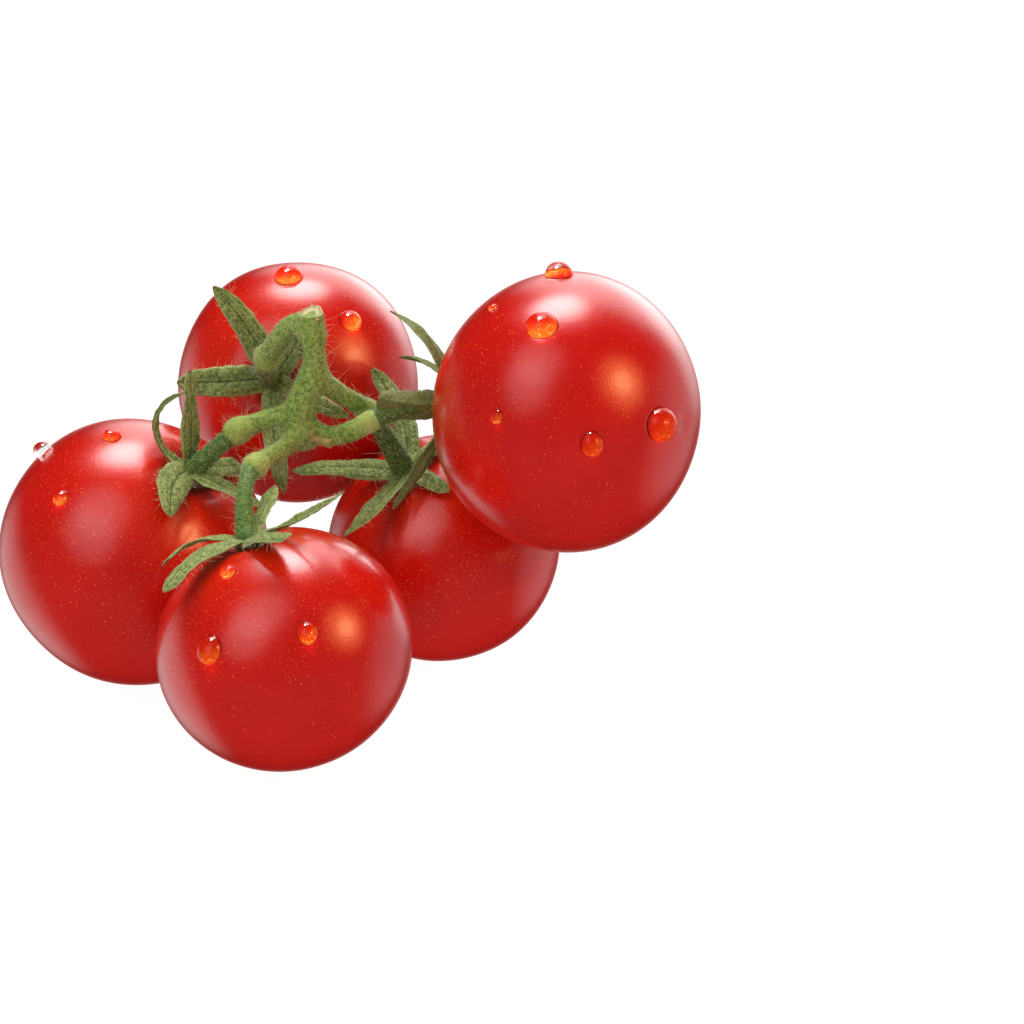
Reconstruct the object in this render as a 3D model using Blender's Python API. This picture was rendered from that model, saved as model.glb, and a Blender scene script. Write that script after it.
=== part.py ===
"""A truss of five cocktail tomatoes, lying as picked on its three lowest fruits.

Metres, +Z up, X along the truss. The origin is under the middle of the truss, on the surface it
lies on. One green stem forks five times. Each arm ends in a swollen knuckle, where the fruit's own
stalk starts, and the stalk ends in a calyx of five sepals that sits in the dimple of its fruit.
All lengths below are in millimetres and all angles in degrees.
"""

import math
from typing import NamedTuple

import bmesh
import bpy
import numpy as np
from mathutils import Matrix, Vector

MM = 0.001

# Shape that all fruits share, in shares of the fruit's radius.
FRUIT_POLAR = 0.94
DIMPLE_DEPTH = 0.14
DIMPLE_WIDTH = 0.20
SCAR_DEPTH = 0.015
SCAR_WIDTH = 0.07
LOBE_SWELL = 0.008
LOBES = 5
FRUIT_SIDES = 30
FRUIT_RINGS = 16
RING_CROWDING = 1.25

# The small flat that a standing fruit is pressed to by its own weight.
FLAT_DEPTH = 0.16

# Gap between neighbouring pieces.
GAP = 0.3

# Stem and stalks.
TUBE_SIDES = 10
TUBE_STEP = 1.3
KNUCKLE_SWELL = 0.4
KNUCKLE_REACH = 1.2
STALK_FLARE = 0.8
FIRST_SPOKE = (0.3, 0.9, 0.2)

# Calyx: its seat above the fruit's centre as a share of the radius, and its small round base,
# as a share of its height and of its widest radius at each level.
SEAT_HEIGHT = 0.90
BASE_RADIUS = 2.1
BASE_RIM = 0.3
BASE_CLEARANCE = 0.5
BASE_LEVELS = [(0.0, 0.35), (0.35, 0.62), (0.75, 0.95), (1.0, 1.0), (1.2, 0.9)]
SEPAL_START = 0.7

# Sepal blades, and the wave of their edges.
BLADE_ROWS = 8
BLADE_SHARES = (-1.0, -0.5, 0.0, 0.5, 1.0)
BLADE_THICKNESS = 0.62
RIB_THICKNESS = 0.26
RIB_TAPER = 0.6
BASE_WIDTH = 0.82
BASE_SPREAD = 0.2
TIP_WIDTH = 0.14
TIP_ROUNDNESS = 0.75
EDGE_WAVE = 0.22
WAVES = 1.6
WAVE_LEAN = 2.1
WAVE_SHIFT = 1.7

SHARP_EDGE = 45


class Fruit(NamedTuple):
    """One fruit: where its middle is, its radius, and where its stem end points."""

    middle: tuple
    radius: float
    heading: float
    elevation: float
    stands: bool


class Sepal(NamedTuple):
    """One sepal: its direction round the calyx from the top, and how it rises, bends and folds.

    The blade lifts from the rib at the fold angle and curls by the curl angle towards its edge. A
    fuller blade keeps its width for longer before it narrows to the tip.
    """

    direction: float
    length: float
    width: float
    rise: float
    end_rise: float
    bend: float
    fold: float
    twist: float
    fullness: float
    curl: float = -45


FRUITS = {
    1: Fruit((-30.8, 0.7, 18.8), 19.8, -29, 56, True),
    2: Fruit((-8.1, 29.2, 34.1), 17.9, -102, 23, False),
    3: Fruit((-8.0, -28.8, 16.9), 18.0, 149, 69, True),
    4: Fruit((13.7, 8.6, 16.1), 17.1, -140, 63, True),
    5: Fruit((31.4, -6.9, 43.6), 19.9, 152, -6, False),
}

# Centre lines of the green parts: x, y, z and radius at each point, from the root outwards.
MAIN_STEM = [
    (-5.9, -4.2, 37.9, 1.30),
    (-6.0, -3.9, 39.6, 1.75),
    (-6.4, -3.8, 41.9, 1.95),
    (-6.0, -3.6, 44.5, 2.05),
    (-4.5, -3.3, 47.8, 1.90),
    (-4.2, -3.1, 50.9, 1.55),
    (-4.4, -2.9, 53.8, 1.65),
    (-4.6, -2.7, 56.9, 1.80),
]
ARMS = {
    1: [
        (-6.2, -3.6, 42.7, 1.6),
        (-8.7, -3.8, 42.0, 1.35),
        (-11.8, -4.1, 41.2, 1.35),
        (-15.2, -4.6, 39.9, 1.45),
    ],
    2: [
        (-4.6, -2.8, 54.0, 1.5),
        (-6.3, -1.4, 54.9, 1.5),
        (-8.1, 0.2, 53.5, 1.5),
        (-9.8, 2.4, 50.6, 1.5),
        (-11.4, 5.5, 47.1, 1.45),
    ],
    3: [
        (-6.0, -4.0, 39.5, 1.6),
        (-8.5, -7.9, 38.7, 1.3),
        (-10.7, -11.8, 38.8, 1.25),
        (-12.3, -15.0, 38.8, 1.3),
    ],
    4: [
        (-4.4, -3.1, 47.6, 1.6),
        (-2.6, -2.0, 46.0, 1.4),
        (-0.5, -1.1, 44.0, 1.3),
        (1.6, 0.0, 42.2, 1.35),
        (3.2, 1.2, 40.4, 1.35),
    ],
    5: [
        (-6.0, -3.8, 39.9, 1.6),
        (-3.9, -4.0, 39.2, 1.4),
        (-1.5, -4.4, 39.1, 1.35),
        (0.9, -4.5, 39.8, 1.4),
        (3.5, -4.1, 41.1, 1.4),
    ],
}
STALKS = {
    1: [(-17.5, -4.8, 38.1, 1.3), (-19.7, -4.6, 35.9, 1.4)],
    2: [(-11.9, 8.2, 44.6, 1.25), (-11.7, 11.2, 42.4, 1.35)],
    3: [(-13.2, -17.6, 38.4, 1.15), (-13.5, -21.0, 36.9, 1.15), (-13.5, -23.6, 34.8, 1.3)],
    4: [(5.0, 2.4, 37.0, 1.35), (6.6, 3.2, 33.8, 1.6)],
    5: [(5.8, -3.0, 41.8, 1.35), (9.1, -1.0, 42.0, 1.35), (11.9, 0.9, 41.6, 1.45)],
}
DRIED_STUB = [(-6.0, -4.4, 39.3, 0.8), (-4.2, -6.0, 39.2, 0.6), (-1.9, -7.4, 39.0, 0.65)]

# direction, length, width, rise, end rise, bend, fold, twist and fullness of each sepal.
SEPALS = {
    1: [
        Sepal(28, 17.0, 2.8, 0, 140, -24, 35, 20, 1.7),
        Sepal(-10, 14.5, 4.2, 58, 54, 12, 20, 0, 6),
        Sepal(86, 12.5, 5.2, 16, -18, 60, 20, 0, 4),
        Sepal(164, 12.5, 4.0, 30, 16, 18, 20, 0, 3),
        Sepal(-120, 9.0, 4.2, 16, -20, 14, 20, 0, 4),
    ],
    2: [
        Sepal(16, 17.0, 4.4, 46, 20, 34, 22, 0, 3.5),
        Sepal(104, 15.0, 4.6, 60, 16, -10, 25, 0, 7),
        Sepal(-168, 17.5, 3.6, 34, -10, 6, 20, 0, 4),
        Sepal(-112, 15.0, 3.0, 48, -16, 4, 20, 0, 4),
        Sepal(-44, 15.5, 3.8, 38, 38, 20, 20, 0, 5),
    ],
    3: [
        Sepal(-101, 16.5, 4.6, 20, -38, -6, 5, -12, 5),
        Sepal(-150, 12.5, 2.8, 30, -40, 6, 20, 20, 4),
        Sepal(-36, 14.5, 4.2, 12, -6, 20, 5, 0, 4),
        Sepal(88, 10.0, 3.4, 28, 26, 4, 20, 0, 5),
        Sepal(4, 18.0, 1.9, 6, 20, -2, 40, 40, 4),
    ],
    4: [
        Sepal(126, 16.0, 4.6, 22, 8, 10, 18, 0, 2.4),
        Sepal(-142, 17.0, 3.8, 24, -4, -44, 25, 0, 2.6),
        Sepal(-90, 9.0, 3.4, 14, -25, 5, 20, 0, 3),
        Sepal(36, 17.5, 4.0, 14, 48, 50, 18, 0, 3.5),
        Sepal(-12, 9.5, 3.4, 14, -18, 0, 20, 0, 3),
    ],
    5: [
        Sepal(0, 17.0, 4.2, 10, 82, 36, 20, 0, 4),
        Sepal(40, 13.0, 2.0, 34, 100, 0, 40, 0, 3),
        Sepal(-82, 12.0, 5.8, 34, 30, 28, 8, 0, 8, 62),
        Sepal(-158, 17.5, 2.8, 24, 10, 46, 30, 0, 5),
        Sepal(110, 12.5, 3.4, 15, 0, 0, 20, 0, 3),
    ],
}

# Colour and roughness of each kind of piece.
FRUIT_SKIN = ("tomato_skin", (0.60, 0.012, 0.008, 1.0), 0.22)
STEM_GREEN = ("stem_skin", (0.16, 0.26, 0.045, 1.0), 0.60)
SEPAL_GREEN = ("sepal_leaf", (0.085, 0.17, 0.035, 1.0), 0.65)


def clear_scene():
    """Remove what the file opened with."""
    for obj in list(bpy.data.objects):
        bpy.data.objects.remove(obj, do_unlink=True)


def finish(name, colour, roughness):
    """Make one material."""
    material = bpy.data.materials.new(name)
    material.use_nodes = True
    shader = material.node_tree.nodes["Principled BSDF"]
    shader.inputs["Base Color"].default_value = colour
    shader.inputs["Roughness"].default_value = roughness
    shader.inputs["Metallic"].default_value = 0.0
    return material


def new_object(name, bm, material):
    """Turn a bmesh drawn in millimetres into a named object in metres."""
    bmesh.ops.scale(bm, vec=(MM, MM, MM), verts=bm.verts)
    bmesh.ops.recalc_face_normals(bm, faces=bm.faces)
    mesh = bpy.data.meshes.new(name)
    bm.to_mesh(mesh)
    bm.free()
    mesh.shade_smooth()
    mesh.set_sharp_from_angle(angle=math.radians(SHARP_EDGE))
    mesh.materials.append(material)
    obj = bpy.data.objects.new(name, mesh)
    bpy.context.scene.collection.objects.link(obj)
    return obj


def stem_axis(fruit):
    """Unit vector from the fruit's middle to its stem end."""
    heading = math.radians(fruit.heading)
    elevation = math.radians(fruit.elevation)
    flat = math.cos(elevation)
    return Vector((flat * math.cos(heading), flat * math.sin(heading), math.sin(elevation)))


def calyx_seat(fruit):
    """Point on the stem axis where the sepals of a fruit spread."""
    return Vector(fruit.middle) + stem_axis(fruit) * fruit.radius * SEAT_HEIGHT


def fruit_profile(theta):
    """Distance from the axis and height along it, in radii, at an angle from the stem end."""
    out = math.sin(theta)
    height = FRUIT_POLAR * math.cos(theta)
    if theta < math.pi / 2:
        height -= DIMPLE_DEPTH * math.exp(-((out / DIMPLE_WIDTH) ** 2))
    else:
        height += SCAR_DEPTH * math.exp(-((out / SCAR_WIDTH) ** 2))
    return out, height


def fruit_mesh(number, fruit):
    """Turned fruit with a dimple, slight lobes and, where it stands, a flat."""
    bm = bmesh.new()
    phase = 2 * math.pi * number / len(FRUITS)
    rings = []
    for i in range(1, FRUIT_RINGS):
        out, height = fruit_profile(math.pi * (i / FRUIT_RINGS) ** RING_CROWDING)
        ring = []
        for j in range(FRUIT_SIDES):
            turn = 2 * math.pi * j / FRUIT_SIDES
            swell = 1 + LOBE_SWELL * out * math.cos(LOBES * turn + phase)
            ring.append(bm.verts.new((out * swell * math.cos(turn), out * swell * math.sin(turn), height)))
        rings.append(ring)
    top = bm.verts.new((0, 0, fruit_profile(0)[1]))
    bottom = bm.verts.new((0, 0, fruit_profile(math.pi)[1]))
    for j in range(FRUIT_SIDES):
        k = (j + 1) % FRUIT_SIDES
        bm.faces.new((top, rings[0][j], rings[0][k]))
        bm.faces.new((bottom, rings[-1][k], rings[-1][j]))
        for low, high in zip(rings[1:], rings):
            bm.faces.new((high[j], low[j], low[k], high[k]))
    turn_to_axis = Vector((0, 0, 1)).rotation_difference(stem_axis(fruit)).to_matrix().to_4x4()
    place = Matrix.Translation(fruit.middle) @ turn_to_axis @ Matrix.Scale(fruit.radius, 4)
    bmesh.ops.transform(bm, matrix=place, verts=bm.verts)
    if fruit.stands:
        lowest = min(v.co.z for v in bm.verts)
        bmesh.ops.translate(bm, vec=(0, 0, -FLAT_DEPTH - lowest), verts=bm.verts)
        cut = bmesh.ops.bisect_plane(
            bm,
            geom=bm.verts[:] + bm.edges[:] + bm.faces[:],
            plane_co=(0, 0, 0),
            plane_no=(0, 0, -1),
            clear_outer=True,
        )
        rim = [e for e in cut["geom_cut"] if isinstance(e, bmesh.types.BMEdge)]
        bmesh.ops.contextual_create(bm, geom=rim)
    return bm


def smooth_line(points):
    """Evenly spaced points, with radii, on a smooth curve through the given ones."""
    p = np.array(points, float)
    slopes = np.gradient(p, axis=0)
    line = []
    for i in range(len(p) - 1):
        count = max(1, round(float(np.linalg.norm(p[i + 1, :3] - p[i, :3])) / TUBE_STEP))
        for t in np.arange(count) / count:
            a = 2 * t**3 - 3 * t**2 + 1
            b = t**3 - 2 * t**2 + t
            c = -2 * t**3 + 3 * t**2
            d = t**3 - t**2
            line.append(a * p[i] + b * slopes[i] + c * p[i + 1] + d * slopes[i + 1])
    line.append(p[-1])
    return np.array(line)


def tube_mesh(line, slopes=None):
    """Closed tube along a line of x, y, z, radius, with its rings square to the slopes."""
    bm = bmesh.new()
    if slopes is None:
        slopes = np.gradient(line[:, :3], axis=0)
    side = Vector(FIRST_SPOKE)
    rings = []
    for point, slope in zip(line, slopes):
        along = Vector(slope).normalized()
        side = (side - along * side.dot(along)).normalized()
        across = along.cross(side)
        ring = []
        for j in range(TUBE_SIDES):
            turn = 2 * math.pi * j / TUBE_SIDES
            spoke = side * math.cos(turn) + across * math.sin(turn)
            ring.append(bm.verts.new(Vector(point[:3]) + spoke * point[3]))
        rings.append(ring)
    for near, far in zip(rings, rings[1:]):
        for j in range(TUBE_SIDES):
            k = (j + 1) % TUBE_SIDES
            bm.faces.new((near[j], near[k], far[k], far[j]))
    bm.faces.new(rings[0][::-1])
    bm.faces.new(rings[-1])
    return bm


def arm_tubes(number):
    """The arm as far as the middle of its knuckle, and the fruit's stalk from there on."""
    seat = calyx_seat(FRUITS[number])
    end = (*seat, BASE_RADIUS * STALK_FLARE)
    line = smooth_line(ARMS[number] + STALKS[number] + [end])
    slopes = np.gradient(line[:, :3], axis=0)
    distance = np.linalg.norm(line[:, :3] - ARMS[number][-1][:3], axis=1)
    line[:, 3] += KNUCKLE_SWELL * np.exp(-((distance / KNUCKLE_REACH) ** 2))
    split = int(distance.argmin())
    arm = tube_mesh(line[: split + 1], slopes[: split + 1])
    stalk_line = line[split:].copy()
    stalk_line[0, :3] += GAP * slopes[split] / np.linalg.norm(slopes[split])
    return arm, tube_mesh(stalk_line, slopes[split:])


def keep_outer_skin(mesh):
    """Fill hollows that fusing sealed: only the skin with the most corners stays."""
    bm = bmesh.new()
    bm.from_mesh(mesh)
    left = set(bm.verts)
    skins = []
    while left:
        skin = set()
        edge_of_skin = [left.pop()]
        while edge_of_skin:
            vert = edge_of_skin.pop()
            skin.add(vert)
            for edge in vert.link_edges:
                other = edge.other_vert(vert)
                if other in left:
                    left.remove(other)
                    edge_of_skin.append(other)
        skins.append(skin)
    skins.sort(key=len)
    for skin in skins[:-1]:
        bmesh.ops.delete(bm, geom=list(skin), context="VERTS")
    bm.to_mesh(mesh)
    bm.free()


def join_pieces(name, meshes, material):
    """Fuse overlapping closed meshes into one object."""
    objects = [new_object(f"{name}_piece_{i}", bm, material) for i, bm in enumerate(meshes)]
    base = objects[0]
    base.name = name
    others = bpy.data.collections.new(f"{name}_others")
    bpy.context.scene.collection.children.link(others)
    for obj in objects[1:]:
        bpy.context.scene.collection.objects.unlink(obj)
        others.objects.link(obj)
    union = base.modifiers.new("union", "BOOLEAN")
    union.operation = "UNION"
    union.operand_type = "COLLECTION"
    union.collection = others
    union.solver = "EXACT"
    depsgraph = bpy.context.evaluated_depsgraph_get()
    fused = bpy.data.meshes.new_from_object(base.evaluated_get(depsgraph))
    keep_outer_skin(fused)
    base.modifiers.clear()
    base.data = fused
    for obj in objects[1:]:
        bpy.data.objects.remove(obj, do_unlink=True)
    bpy.data.collections.remove(others)
    return base


def base_mesh(fruit):
    """Small round base in the dimple, which the sepals grow from."""
    axis = stem_axis(fruit)
    seat = calyx_seat(fruit)
    dimple = Vector(fruit.middle) + axis * fruit.radius * fruit_profile(0)[1]
    foot = dimple + axis * BASE_CLEARANCE
    depth = (seat - foot).length
    line = []
    for share, width in BASE_LEVELS:
        line.append((*(foot + axis * depth * share), BASE_RADIUS * width))
    return tube_mesh(np.array(line))


def sepal_rib(fruit, sepal):
    """Points along a sepal's middle with the directions along, across and out of the blade."""
    axis = stem_axis(fruit)
    up = (Vector((0, 0, 1)) - axis * axis.z).normalized()
    left = axis.cross(up)
    point = calyx_seat(fruit) + axis * BASE_RIM
    rows = []
    step = sepal.length / BLADE_ROWS
    for i in range(BLADE_ROWS + 1):
        s = i / BLADE_ROWS
        turn = math.radians(sepal.direction + sepal.bend * s)
        rise = math.radians(sepal.rise + (sepal.end_rise - sepal.rise) * s)
        outward = up * math.cos(turn) + left * math.sin(turn)
        along = outward * math.cos(rise) + axis * math.sin(rise)
        normal = axis * math.cos(rise) - outward * math.sin(rise)
        across = along.cross(normal)
        spin = Matrix.Rotation(math.radians(sepal.twist * s), 3, along)
        if i == 0:
            point = point + outward * SEPAL_START
        rows.append((s, point.copy(), spin @ across, spin @ normal))
        point = point + along * step
    return rows


def half_width(sepal, s):
    """Half width of a sepal at a share of its length."""
    belly = 1 - (1 - BASE_WIDTH) * math.exp(-((s / BASE_SPREAD) ** 2))
    taper = (1 - s**sepal.fullness) ** TIP_ROUNDNESS
    return sepal.width / 2 * (TIP_WIDTH + (1 - TIP_WIDTH) * belly * taper)


def fold_and_curl(sepal, u):
    """Place across and lift of a blade's section, at a share of its half width, in half widths."""
    fold = math.radians(sepal.fold)
    curl = math.radians(sepal.curl)
    slope = fold + curl * abs(u)
    across = (math.sin(slope) - math.sin(fold)) / curl
    return math.copysign(across, u), (math.cos(fold) - math.cos(slope)) / curl


def sepal_mesh(fruit, sepal, phase):
    """Pointed leaf blade with a raised middle, folded and curled sides and waved edges."""
    bm = bmesh.new()
    faces_up = []
    faces_down = []
    for s, point, across, normal in sepal_rib(fruit, sepal):
        half = half_width(sepal, s)
        upper = []
        lower = []
        for u in BLADE_SHARES:
            aside, lift = fold_and_curl(sepal, u)
            wave = EDGE_WAVE * u * u * math.sin(2 * math.pi * WAVES * s + phase + WAVE_LEAN * u)
            rise = half * lift + wave * min(1.0, half)
            middle = point + across * half * aside + normal * rise
            rib = RIB_THICKNESS * (1 - abs(u)) * (1 - RIB_TAPER * s)
            thick = (BLADE_THICKNESS + rib) / 2
            upper.append(bm.verts.new(middle + normal * thick))
            lower.append(bm.verts.new(middle - normal * thick))
        faces_up.append(upper)
        faces_down.append(lower)
    last = len(BLADE_SHARES) - 1
    for i in range(BLADE_ROWS):
        for j in range(last):
            for rows, outward in ((faces_up, True), (faces_down, False)):
                corners = (rows[i][j], rows[i + 1][j], rows[i + 1][j + 1], rows[i][j + 1])
                for face in (corners[:3], (corners[0], corners[2], corners[3])):
                    bm.faces.new(face if outward else face[::-1])
        for j in (0, last):
            bm.faces.new((faces_up[i][j], faces_up[i + 1][j], faces_down[i + 1][j], faces_down[i][j]))
    for i in (0, BLADE_ROWS):
        for j in range(last):
            bm.faces.new((faces_up[i][j], faces_up[i][j + 1], faces_down[i][j + 1], faces_down[i][j]))
    return bm


def build_fruits():
    """The five red fruits."""
    skin = finish(*FRUIT_SKIN)
    for number, fruit in FRUITS.items():
        new_object(f"fruit_{number}", fruit_mesh(number, fruit), skin)


def build_stem():
    """The main stem with its arms as far as the knuckles, and a dried stub."""
    meshes = [tube_mesh(smooth_line(MAIN_STEM))]
    for number in ARMS:
        arm, stalk = arm_tubes(number)
        meshes.append(arm)
        stalk.free()
    meshes.append(tube_mesh(smooth_line(DRIED_STUB)))
    join_pieces("stem", meshes, finish(*STEM_GREEN))


def build_calyces():
    """Each fruit's stalk from the knuckle on, with its base and sepals."""
    leaf = finish(*SEPAL_GREEN)
    for number, fruit in FRUITS.items():
        arm, stalk = arm_tubes(number)
        arm.free()
        meshes = [stalk, base_mesh(fruit)]
        for i, sepal in enumerate(SEPALS[number]):
            meshes.append(sepal_mesh(fruit, sepal, phase=i * WAVE_SHIFT + number))
        join_pieces(f"calyx_{number}", meshes, leaf)


def main():
    """Build the whole truss."""
    clear_scene()
    build_fruits()
    build_stem()
    build_calyces()


main()
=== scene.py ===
"""Looks of a truss of five cocktail tomatoes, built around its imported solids.

Lengths are in millimetres in the truss's own frame until a mesh is made, which is in metres.
Each fruit, each calyx with its stalk, and the stem stands for the solid of the same place. Hairs,
veins, specks in the skin and drops of water are added here.
"""

from __future__ import annotations

import logging
import math
from collections.abc import Sequence
from dataclasses import dataclass, field
from enum import Enum
from typing import NamedTuple

import bpy
import numpy as np
from mathutils import Matrix, Vector, noise
from mathutils.bvhtree import BVHTree

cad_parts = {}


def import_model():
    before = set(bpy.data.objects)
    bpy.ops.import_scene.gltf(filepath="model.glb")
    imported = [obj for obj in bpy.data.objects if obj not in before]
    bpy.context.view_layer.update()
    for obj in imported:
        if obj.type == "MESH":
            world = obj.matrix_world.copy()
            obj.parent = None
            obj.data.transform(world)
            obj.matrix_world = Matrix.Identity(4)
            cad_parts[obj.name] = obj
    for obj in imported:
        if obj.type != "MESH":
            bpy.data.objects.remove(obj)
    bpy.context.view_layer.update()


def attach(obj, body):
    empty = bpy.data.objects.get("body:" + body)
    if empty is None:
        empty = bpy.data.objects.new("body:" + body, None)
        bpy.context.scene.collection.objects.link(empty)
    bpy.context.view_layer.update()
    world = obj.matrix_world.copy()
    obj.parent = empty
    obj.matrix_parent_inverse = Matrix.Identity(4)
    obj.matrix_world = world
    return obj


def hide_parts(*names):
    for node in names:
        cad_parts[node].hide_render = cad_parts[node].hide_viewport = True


MM = 0.001
BODY = "root"
SEED = 20
NOISE_SHIFT = 17.3
FIRST_SIDE = (0.3, 0.9, 0.2)
FAR = 1e3
TINY = 1e-9

Point = tuple[float, float, float]
Station = tuple[float, float, float, float]
Span = tuple[float, float]
Face = tuple[int, ...]
Socket = bpy.types.NodeSocket

log = logging.getLogger("truss")


class Slot(Enum):
    """Material slots of the record."""

    SKIN = "tomato_skin"
    STEM = "stem_skin"
    LEAF = "sepal_leaf"


class Kind(Enum):
    """Nodes used here: type, its inputs in the order that they are given in, output, settings."""

    PLACE = ("ShaderNodeTexCoord", (), "Object", {})
    VALUE = ("ShaderNodeAttribute", (), "Fac", {})
    VECTOR = ("ShaderNodeAttribute", (), "Vector", {})
    NOISE = ("ShaderNodeTexNoise", ("Vector", "Scale", "Detail", "Roughness"), "Fac", {})
    CELLS = ("ShaderNodeTexVoronoi", ("Vector", "Scale"), "Distance", {"feature": "F1"})
    NET = ("ShaderNodeTexVoronoi", ("Vector", "Scale"), "Distance", {"feature": "DISTANCE_TO_EDGE"})
    EASE = ("ShaderNodeMapRange", (0, 1, 2, 3, 4), 0, {"interpolation_type": "SMOOTHSTEP"})
    ADD = ("ShaderNodeMath", (0, 1), 0, {"operation": "ADD"})
    TIMES = ("ShaderNodeMath", (0, 1), 0, {"operation": "MULTIPLY"})
    TIMES_ADD = ("ShaderNodeMath", (0, 1, 2), 0, {"operation": "MULTIPLY_ADD"})
    GREATER = ("ShaderNodeMath", (0, 1), 0, {"operation": "MAXIMUM"})
    BELOW = ("ShaderNodeMath", (0, 1), 0, {"operation": "LESS_THAN"})
    SIZE = ("ShaderNodeMath", (0,), 0, {"operation": "ABSOLUTE"})
    COSINE = ("ShaderNodeMath", (0,), 0, {"operation": "COSINE"})
    MIX = ("ShaderNodeMix", (0, 6, 7), 2, {"data_type": "RGBA"})
    SPLIT_COLOUR = ("ShaderNodeSeparateColor", (0,), 0, {})
    SPLIT_VECTOR = ("ShaderNodeSeparateXYZ", (0,), 0, {})
    RAMP = ("ShaderNodeValToRGB", (0,), 0, {})
    BUMP = ("ShaderNodeBump", ("Height", "Strength", "Distance"), 0, {})
    RAYS = ("ShaderNodeLightPath", (), "Is Shadow Ray", {})
    CLEAR = ("ShaderNodeBsdfTransparent", (0,), 0, {})
    EITHER = ("ShaderNodeMixShader", (0, 1, 2), 0, {})
    AHEAD = ("ShaderNodeTexCoord", (), "Generated", {})
    FACING = ("ShaderNodeVectorMath", (0, 1), "Value", {"operation": "DOT_PRODUCT"})
    DIMMED = ("ShaderNodeVectorMath", (0, "Scale"), 0, {"operation": "SCALE"})
    TOGETHER = ("ShaderNodeVectorMath", (0, 1), 0, {"operation": "ADD"})


def linear(code: str) -> tuple[float, float, float, float]:
    """Turn an sRGB hex colour to linear red, green, blue and alpha.

    Args:
        code: six hex digits after a hash.

    Returns:
        The linear colour with full alpha.
    """
    shares = [int(code[i : i + 2], 16) / 255 for i in (1, 3, 5)]
    return (*(c / 12.92 if c <= 0.04045 else ((c + 0.055) / 1.055) ** 2.4 for c in shares), 1.0)


def per_metre(size_mm: float) -> float:
    """Scale of a pattern whose parts have a size in millimetres."""
    return 1 / (size_mm * MM)


def plug(tree: bpy.types.NodeTree, socket: Socket, value: object) -> None:
    """Link an input, or set it to a value or to an sRGB hex colour.

    Args:
        tree: the node tree that both are in.
        socket: the input.
        value: the output to link from, or what to set.
    """
    if isinstance(value, bpy.types.NodeSocket):
        tree.links.new(value, socket)
    else:
        socket.default_value = linear(value) if isinstance(value, str) else value


def add_node(tree: bpy.types.NodeTree, kind: Kind, *inputs: object, **settings: object) -> Socket:
    """Add a node with its settings, its values and its links.

    Args:
        tree: the node tree that takes it.
        kind: which node it is.
        inputs: a value, an sRGB hex colour or the socket to link from, for each input.
        settings: more properties of the node itself.

    Returns:
        The output that goes on. Its node has the others.
    """
    node_type, places, output, fixed = kind.value
    node = tree.nodes.new(node_type)
    for name, value in {**fixed, **settings}.items():
        setattr(node, name, value)
    for place, value in zip(places, inputs):
        plug(tree, node.inputs[place], value)
    return node.outputs[output]


class Painter:
    """One material in the making: its node tree, its shader and the place on the object."""

    def __init__(self, name: str) -> None:
        """Start an empty material.

        Args:
            name: what the surface is.
        """
        self.material = bpy.data.materials.new(name)
        self.material.use_nodes = True
        self.tree = self.material.node_tree
        self.shader = self.tree.nodes["Principled BSDF"]
        self.place = self.add(Kind.PLACE)

    def add(self, kind: Kind, *inputs: object, **settings: object) -> Socket:
        """Add a node, as add_node does."""
        return add_node(self.tree, kind, *inputs, **settings)

    def finish(self, **inputs: object) -> bpy.types.Material:
        """Set or link the shader's inputs and give the material.

        Args:
            inputs: values or sockets, by the input's name with _ for each space.

        Returns:
            The finished material.
        """
        for name, value in inputs.items():
            plug(self.tree, self.shader.inputs[name.replace("_", " ")], value)
        return self.material


class Fade(NamedTuple):
    """Ease from low to high while a value goes from start to stop."""

    start: float
    stop: float
    low: float = 0.0
    high: float = 1.0


@dataclass(frozen=True)
class Grain:
    """Soft noise with lumps of a size in millimetres."""

    size_mm: float
    detail: float = 2.0
    roughness: float = 0.5

    def inputs(self) -> tuple[float, float, float]:
        """Scale, detail and roughness, as the noise node takes them."""
        return per_metre(self.size_mm), self.detail, self.roughness


@dataclass(frozen=True)
class Dots:
    """Round dots with a mean gap; a dot is full at its core and gone at its rim, in gaps."""

    gap_mm: float
    rim: float
    core: float
    strength: float = 1.0

    def scatter(self, paint: Painter) -> tuple[Socket, Socket, Socket]:
        """Scatter the dots over a material.

        Args:
            paint: the material in the making.

        Returns:
            The dots, and two even random draws for each of them.
        """
        cells = paint.add(Kind.CELLS, paint.place, per_metre(self.gap_mm))
        draw = paint.add(Kind.SPLIT_COLOUR, cells.node.outputs["Color"])
        dot = paint.add(Kind.EASE, cells, self.rim, self.core, 0.0, self.strength)
        return dot, draw, draw.node.outputs[1]


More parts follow.
